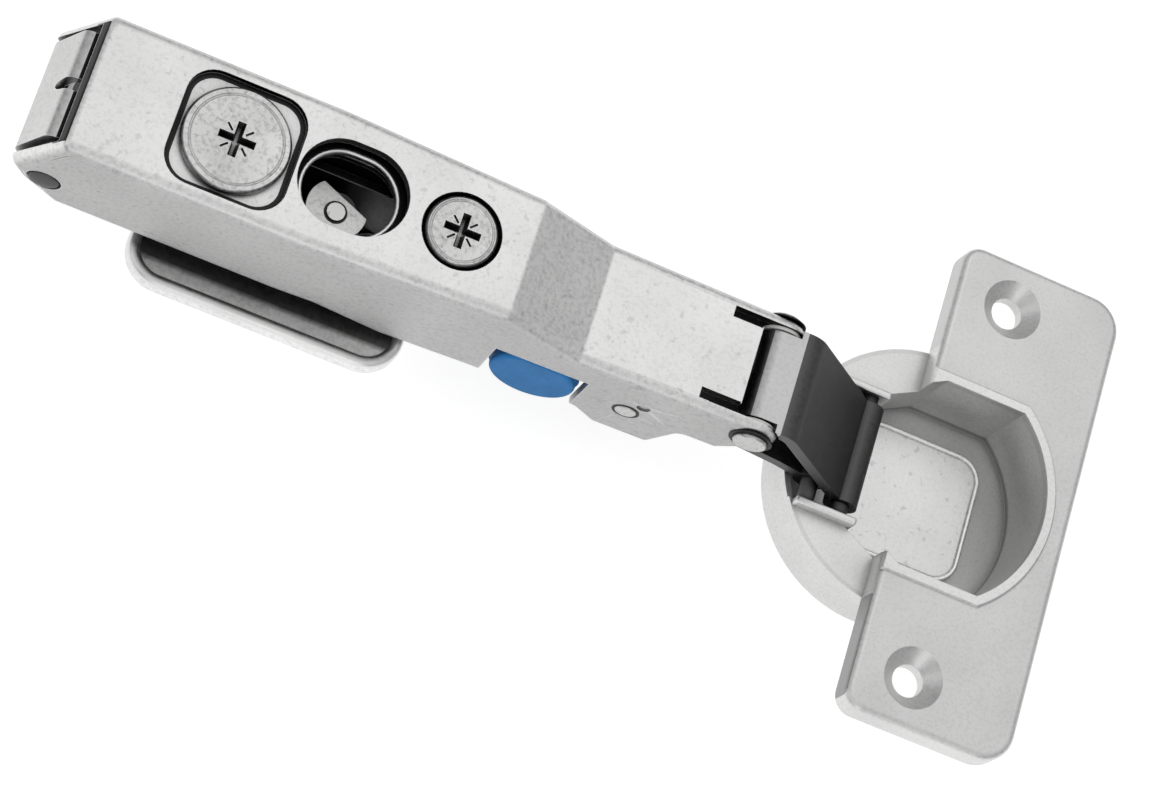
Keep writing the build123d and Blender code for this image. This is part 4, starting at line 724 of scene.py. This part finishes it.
# %% Cut the seat's corners, the gap and the notches
SEAT_FLOOR, OVER_SEAT = 22.1, 24.0
GAP_BACK, GAP_FRONT, GAP_HALF = 57.1, 58.3, 6.5
NOTCH_FRONT, NOTCH_IN, NOTCH_OUT = 57.0, 5.1, 6.55
NEAR_NOTCH_BACK, FAR_NOTCH_BACK = 51.8, 53.0
NOSE_FOOT, OVER_NOSE = 16.9, 20.0
arm_cutters = [
    prism(rounded_square(depth_screw, SEAT_HALF, SEAT_CORNER), SEAT_FLOOR, OVER_SEAT, "seat_cutter"),
    block(GAP_BACK, GAP_FRONT, -GAP_HALF, GAP_HALF, NOSE_FOOT, OVER_NOSE, "gap_cutter"),
    block(NEAR_NOTCH_BACK, NOTCH_FRONT, -NOTCH_OUT, -NOTCH_IN, NOSE_FOOT, OVER_NOSE, "near_cutter"),
    block(FAR_NOTCH_BACK, NOTCH_FRONT, NOTCH_IN, NOTCH_OUT, NOSE_FOOT, OVER_NOSE, "far_cutter"),
]
arm_shell = piece("arm_shell", cut(copied("hinge_arm"), arm_cutters), arm_nickel, "arm")
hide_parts("hinge_arm")

# %% [markdown]
# ## Forms from Geometry Nodes
# Rivet domes, stamped rings and driver marks are one form set on several points, and a bead is
# a round profile swept along a path. Copies by hand would each need their own mesh. A tree
# makes the form once from named sizes, sets it on each point and gives it its finish.

# %% A tree with named inputs
def tree_with(name, sizes):
    """A geometry tree that takes points and named lengths; returns the tree and its inputs."""
    tree = bpy.data.node_groups.new(name, "GeometryNodeTree")
    tree.interface.new_socket("Geometry", in_out="INPUT", socket_type="NodeSocketGeometry")
    for size, value in sizes.items():
        socket = tree.interface.new_socket(size, in_out="INPUT", socket_type="NodeSocketFloat")
        socket.default_value = value
    tree.interface.new_socket("Geometry", in_out="OUTPUT", socket_type="NodeSocketGeometry")
    return tree, tree.nodes.new("NodeGroupInput").outputs


def set_on_points(tree, given, form, finish, **settings):
    """The end of every tree: the form on each point, made real and given its finish."""
    spread = put(tree, "GeometryNodeInstanceOnPoints", in_Points=given["Geometry"], in_Instance=form,
                 **settings)
    real = put(tree, "GeometryNodeRealizeInstances", in_Geometry=spread.outputs[0])
    dressed = put(tree, "GeometryNodeSetMaterial", in_Geometry=real.outputs[0], in_Material=finish)
    put(tree, "NodeGroupOutput", in_0=dressed.outputs[0])
    return tree


def grown(tree, sizes, points, name):
    """The plain mesh that a tree makes on a few points; sizes and points in millimetres."""
    seeds = bpy.data.meshes.new(name)
    seeds.from_pydata([tuple(value * MM for value in point) for point in points], [], [])
    holder = bpy.data.objects.new(name, seeds)
    bpy.context.scene.collection.objects.link(holder)
    grower = holder.modifiers.new("grow", "NODES")
    grower.node_group = tree
    for socket in tree.interface.items_tree:
        if socket.in_out == "INPUT" and socket.name in sizes:
            grower[socket.identifier] = sizes[socket.name] * MM
    mesh = plain_mesh(holder)
    holder.modifiers.remove(grower)
    bpy.data.objects.remove(holder)
    mesh.name = name
    return mesh


def both_sides(x, side, z):
    """A point on the near wall and its twin on the far one, in millimetres."""
    return [(x, -side, z), (x, side, z)]


print("helpers: tree_with, set_on_points, grown, both_sides")

# %% Domes and flat discs that lie across the hinge
def studs_tree(name, finish, domed):
    """A dome or a flat disc on each point, facing sideways."""
    tree, given = tree_with(name, {"Radius": 0.001, "Height": 0.0005})
    if domed:
        form = put(tree, "GeometryNodeMeshUVSphere", in_Segments=32, in_Rings=16, in_Radius=1.0)
    else:
        form = put(tree, "GeometryNodeMeshCylinder", in_Vertices=32, in_Radius=1.0, in_Depth=2.0)
    turned = put(tree, "GeometryNodeTransform", in_Geometry=form.outputs["Mesh"],
                 in_Rotation=(math.pi / 2, 0, 0))
    size = put(tree, "ShaderNodeCombineXYZ", in_0=given["Radius"], in_1=given["Height"],
               in_2=given["Radius"])
    return set_on_points(tree, given, turned.outputs[0], finish, in_Scale=size.outputs[0])


print("tree: studs_tree")

# %% [markdown]
# ## Plugs in the arm's ears
# At the rear, each wall has an ear with a round hole, closed by the domed end of a zinc rivet.
# A flattened sphere half sunk in the hole is enough, since only its cap shows.

# %% Domes in the ear holes
EAR_X, EAR_Z, EAR_SIDE = -30.4, 12.1, 9.25
dull_zinc = plated("dull_zinc", (0.10, 0.10, 0.10), 0.5, lines=0.0, rub_highlight_tone=0.2)
ear_domes = grown(studs_tree("dome_tree", dull_zinc, True), {"Radius": 1.95, "Height": 0.55},
                  both_sides(EAR_X, EAR_SIDE, EAR_Z), "ear_domes")
piece("ear_domes", ear_domes, dull_zinc, "arm")

# %% [markdown]
# ## Cheeks over the ends of the cup's pins
# The cup's two pins end under raised bars, cast with the cup. Round bosses would look like
# rivets there, so each cheek is one bar with its edges broken, made flat and then turned with
# the cup, which leans by two degrees.

# %% Raised cheeks
CHEEK_BACK, CHEEK_FRONT = -14.75, -6.4     # along the flange, from the cup's centre
CHEEK_FOOT, CHEEK_TOP = -6.0, -1.9         # over the flange's top
CHEEK_SIDE, CHEEK_HALF, CHEEK_EDGE = 8.87, 0.5, 0.3
CUP_TURN = Matrix.Translation((CUP_MIDDLE[0], 0, CUP_MIDDLE[1])) @ Matrix.Rotation(CUP_TILT, 4, "Y")
for name, side in (("near_cheek", -CHEEK_SIDE), ("far_cheek", CHEEK_SIDE)):
    bar = block(CHEEK_BACK, CHEEK_FRONT, side - CHEEK_HALF, side + CHEEK_HALF, CHEEK_FOOT, CHEEK_TOP, name)
    softened = bmesh.new()
    softened.from_mesh(bar)
    bmesh.ops.bevel(softened, geom=list(softened.edges), offset=CHEEK_EDGE * MM, segments=3,
                    profile=0.5, affect="EDGES")
    softened.to_mesh(bar)
    softened.free()
    bar.transform(CUP_TURN)
    piece(name, bar, cup_nickel, "cup")

# %% [markdown]
# ## Dull pins across the cup
# These two pins are oiled, dark steel, while the pins in the arm are bright. A finish belongs
# to a whole slot in the record, so copies of the two pins carry the dark one.

# %% The cup's pins
for node in ("outer_cup_pin", "inner_cup_pin"):
    dull_pin = piece("dull_" + node, copied(node), dull_zinc, "cup")
    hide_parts(node)

# %% [markdown]
# ## Beads
# The mounting plate's edge is rolled to a round bead, the opening in the slide plate has a
# bright burnished edge, and a bead runs round the plate in the cup. A bevel would need an edge
# that follows the same line, so each is a circle swept along a rectangle with round corners.

# %% A bead along a rounded rectangle
def bead_tree(name, finish):
    """A round bead along a rectangle with round corners, about each point."""
    tree, given = tree_with(name, {"Length": 0.03, "Width": 0.02, "Corner": 0.004, "Bead": 0.0005})
    outline = put(tree, "GeometryNodeCurvePrimitiveQuadrilateral", in_Width=given["Length"],
                  in_Height=given["Width"])
    softened = put(tree, "GeometryNodeFilletCurve", mode="POLY", in_Curve=outline.outputs[0],
                   in_Count=10, in_Radius=given["Corner"])
    profile = put(tree, "GeometryNodeCurvePrimitiveCircle", in_Resolution=16, in_Radius=given["Bead"])
    swept = put(tree, "GeometryNodeCurveToMesh", in_Curve=softened.outputs[0],
                in_Profile_Curve=profile.outputs[0])
    return set_on_points(tree, given, swept.outputs[0], finish)


print("tree: bead_tree")

# %% The rolled bead round the mounting plate
PLATE_BEAD_LEVEL = 1.75
bead_nickel = plated("bead_nickel", (0.80, 0.80, 0.795), 0.42, speck=0.03, crevice=0.0008, crevice_shade_tone=0.5)
plate_bead = grown(bead_tree("plate_bead_tree", bead_nickel),
                   {"Length": 34.4, "Width": 23.8, "Corner": 4.2, "Bead": 0.8},
                   [(0, 0, PLATE_BEAD_LEVEL)], "plate_bead")
piece("plate_bead", plate_bead, bead_nickel, "plate")

# %% The bright edge of the opening in the slide plate
SLIDE_EDGE_LEVEL = 20.3
edge_nickel = plated("edge_nickel", (0.85, 0.85, 0.845), 0.36, speck=0.03, crevice=0.0003, crevice_shade_tone=0.8)
slide_edge = grown(bead_tree("slide_edge_tree", edge_nickel),
                   {"Length": 12.2, "Width": 10.6, "Corner": 5.25, "Bead": 0.32},
                   [(height_screw[0], 0, SLIDE_EDGE_LEVEL)], "slide_edge")
piece("slide_edge", slide_edge, edge_nickel, "slide")

# %% The bead round the plate in the cup, with a painted highlight
CUP_BEAD_ALONG, CUP_BEAD_ABOVE = 2.1, -10.55
# A real bead; its tone is raised above the plate's as a painted highlight.
cup_bead_highlight = plated("cup_bead_highlight", (0.95, 0.95, 0.945), 0.38, crevice=0.0004, crevice_shade_tone=0.8)
cup_bead = grown(bead_tree("cup_bead_tree", cup_bead_highlight),
                 {"Length": 17.3, "Width": 17.3, "Corner": 3.2, "Bead": 0.36},
                 [(CUP_BEAD_ALONG, 0, CUP_BEAD_ABOVE)], "cup_bead")
cup_bead.transform(CUP_TURN)
piece("cup_bead", cup_bead, cup_bead_highlight, "cup")

# %% [markdown]
# ## Painted shadow round the arm's pins
# Round the head of a riveted pin lies a ring of shade, and the rear pin's end is a low dome.
# The ring of shade is painted: a thin black disc lies behind the head and shows as a dark
# ring round it.

# %% Painted shadow rings round the heads of the front pin
NOSE_WALL, KEEL_WALL = 8.06, 8.17
# A black finish for painted shadow: the rings round the pin heads and the driver recess.
painted_shade_black = plated("painted_shade_black", (0.05, 0.05, 0.05), 0.5, lines=0.0, rub_highlight_tone=0.0)
pin_shadow_rings = grown(studs_tree("shadow_ring_tree", painted_shade_black, False), {"Radius": 2.75, "Height": 0.09},
                  both_sides(front_pin[0], NOSE_WALL, front_pin[2]), "pin_shadow_rings")
piece("pin_shadow_rings", pin_shadow_rings, painted_shade_black, "arm")

# %% Painted shadow rings and domes on the ends of the rear pin
keel_points = both_sides(rear_pin[0], KEEL_WALL, rear_pin[2])
keel_shadow_rings = grown(studs_tree("keel_shadow_ring_tree", painted_shade_black, False), {"Radius": 1.75, "Height": 0.08},
                   keel_points, "keel_shadow_rings")
piece("keel_shadow_rings", keel_shadow_rings, painted_shade_black, "arm")
keel_domes = grown(studs_tree("keel_dome_tree", pin_steel, True), {"Radius": 1.4, "Height": 0.4},
                   keel_points, "keel_domes")
piece("keel_domes", keel_domes, pin_steel, "arm")

# %% [markdown]
# ## Driver marks and the turned ring on the screws
# Between the arms of a cross recess lie four short ticks, and the head has a turned ring. The
# ticks are one bar set on four points and turned outwards by its place, the ring is the bead
# again, and both are cut into copies of the heads, so they are real grooves.

# %% Four ticks and a ring, cut into the heads
HEAD_TOP = 23.15
TICK_SIZES = {"Length": 1.1, "Width": 0.26, "Depth": 0.9}
RING_BEAD, RING_LIFT = 0.2, 0.08
NEARLY_ROUND = 0.995               # a square's corners just short of half its side, so it stays a path


def ticks_tree():
    """A bar on each point, turned to point away from the middle."""
    tree, given = tree_with("ticks_tree", {"Length": 0.001, "Width": 0.0002, "Depth": 0.0006})
    lengths = put(tree, "ShaderNodeCombineXYZ", in_0=given["Length"], in_1=given["Width"],
                  in_2=given["Depth"])
    bar = put(tree, "GeometryNodeMeshCube", in_Size=lengths.outputs[0])
    place = put(tree, "GeometryNodeInputPosition")
    outwards = put(tree, "FunctionNodeAlignRotationToVector", axis="X", pivot_axis="Z",
                   in_Vector=place.outputs[0])
    return set_on_points(tree, given, bar.outputs["Mesh"], screw_nickel, in_Rotation=outwards.outputs[0])


def marked_head(node, name, body, middle, ring_radius, tick_reach):
    """A screw with four driver ticks and a turned ring cut into its head."""
    diagonals = (math.pi / 4 + quarter * math.pi / 2 for quarter in range(4))
    spots = [(tick_reach * math.cos(angle), tick_reach * math.sin(angle), 0) for angle in diagonals]
    ticks = grown(ticks_tree(), TICK_SIZES, spots, "ticks")
    ticks.transform(Matrix.Translation((middle * MM, 0, HEAD_TOP * MM)))
    ring_sizes = {"Length": 2 * ring_radius, "Width": 2 * ring_radius,
                  "Corner": NEARLY_ROUND * ring_radius, "Bead": RING_BEAD}
    ring = grown(bead_tree("turned_ring_tree", screw_nickel), ring_sizes,
                 [(middle, 0, HEAD_TOP + RING_LIFT)], "ring")
    head = piece(name, cut(copied(node), [ticks, ring]), screw_nickel, body)
    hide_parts(node)


marked_head("depth_cam_screw", "depth_cam_head", "depth_cam", depth_screw[0], ring_radius=5.7,
            tick_reach=1.75)
marked_head("side_adjust_screw", "side_screw_head", "side_screw", side_screw[0],
            ring_radius=3.9, tick_reach=1.6)

# %% [markdown]
# ## The flat head of the height screw
# Deep in the round opening lies the head of the height screw, a disc with one flat, and in it
# the round driver recess. The disc is a prism over a circle whose points beyond the flat are
# moved back on to it, which is shorter than a boolean and leaves a clean edge.

# %% Flat head of the height screw
HEAD_MIDDLE, HEAD_RADIUS = (3.1, -0.4), 3.8
FLAT_ANGLE, FLAT_REACH = math.radians(67), 1.7
HEAD_FOOT, HEAD_LEVEL = 15.1, 16.1


def with_flat(outline, middle, angle, reach):
    """An outline with what lies beyond a straight line moved back on to it."""
    flat = []
    for x, y in outline:
        beyond = (x - middle[0]) * math.cos(angle) + (y - middle[1]) * math.sin(angle) - reach
        beyond = max(beyond, 0.0)
        flat.append((x - beyond * math.cos(angle), y - beyond * math.sin(angle)))
    return flat


disc = with_flat(round_outline(HEAD_MIDDLE, HEAD_RADIUS, 72), HEAD_MIDDLE, FLAT_ANGLE, FLAT_REACH)
piece("height_head", prism(disc, HEAD_FOOT, HEAD_LEVEL, "height_head"), screw_nickel, "height_cam")

# %% Its neck, and painted shade for its driver recess
NECK_RADIUS, NECK_FOOT, NECK_TOP = 2.2, 14.15, 15.2
DRIVER_MIDDLE, DRIVER_FOOT = (3.1, -0.85), 16.0
RECESS_RADIUS, RECESS_TOP = 1.45, 16.16
STUB_RADIUS, STUB_TOP = 1.15, 16.4
neck = prism(round_outline(height_screw, NECK_RADIUS), NECK_FOOT, NECK_TOP, "height_neck")
# Painted shade: a thin black disc stands for the depth of the driver recess.
recess = prism(round_outline(DRIVER_MIDDLE, RECESS_RADIUS), DRIVER_FOOT, RECESS_TOP, "driver_recess_shade")
stub = prism(round_outline(DRIVER_MIDDLE, STUB_RADIUS), DRIVER_FOOT, STUB_TOP, "driver_stub")
piece("height_neck", neck, dull_zinc, "height_cam")
piece("driver_recess_shade", recess, painted_shade_black, "height_cam")
piece("driver_stub", stub, pin_steel, "height_cam")
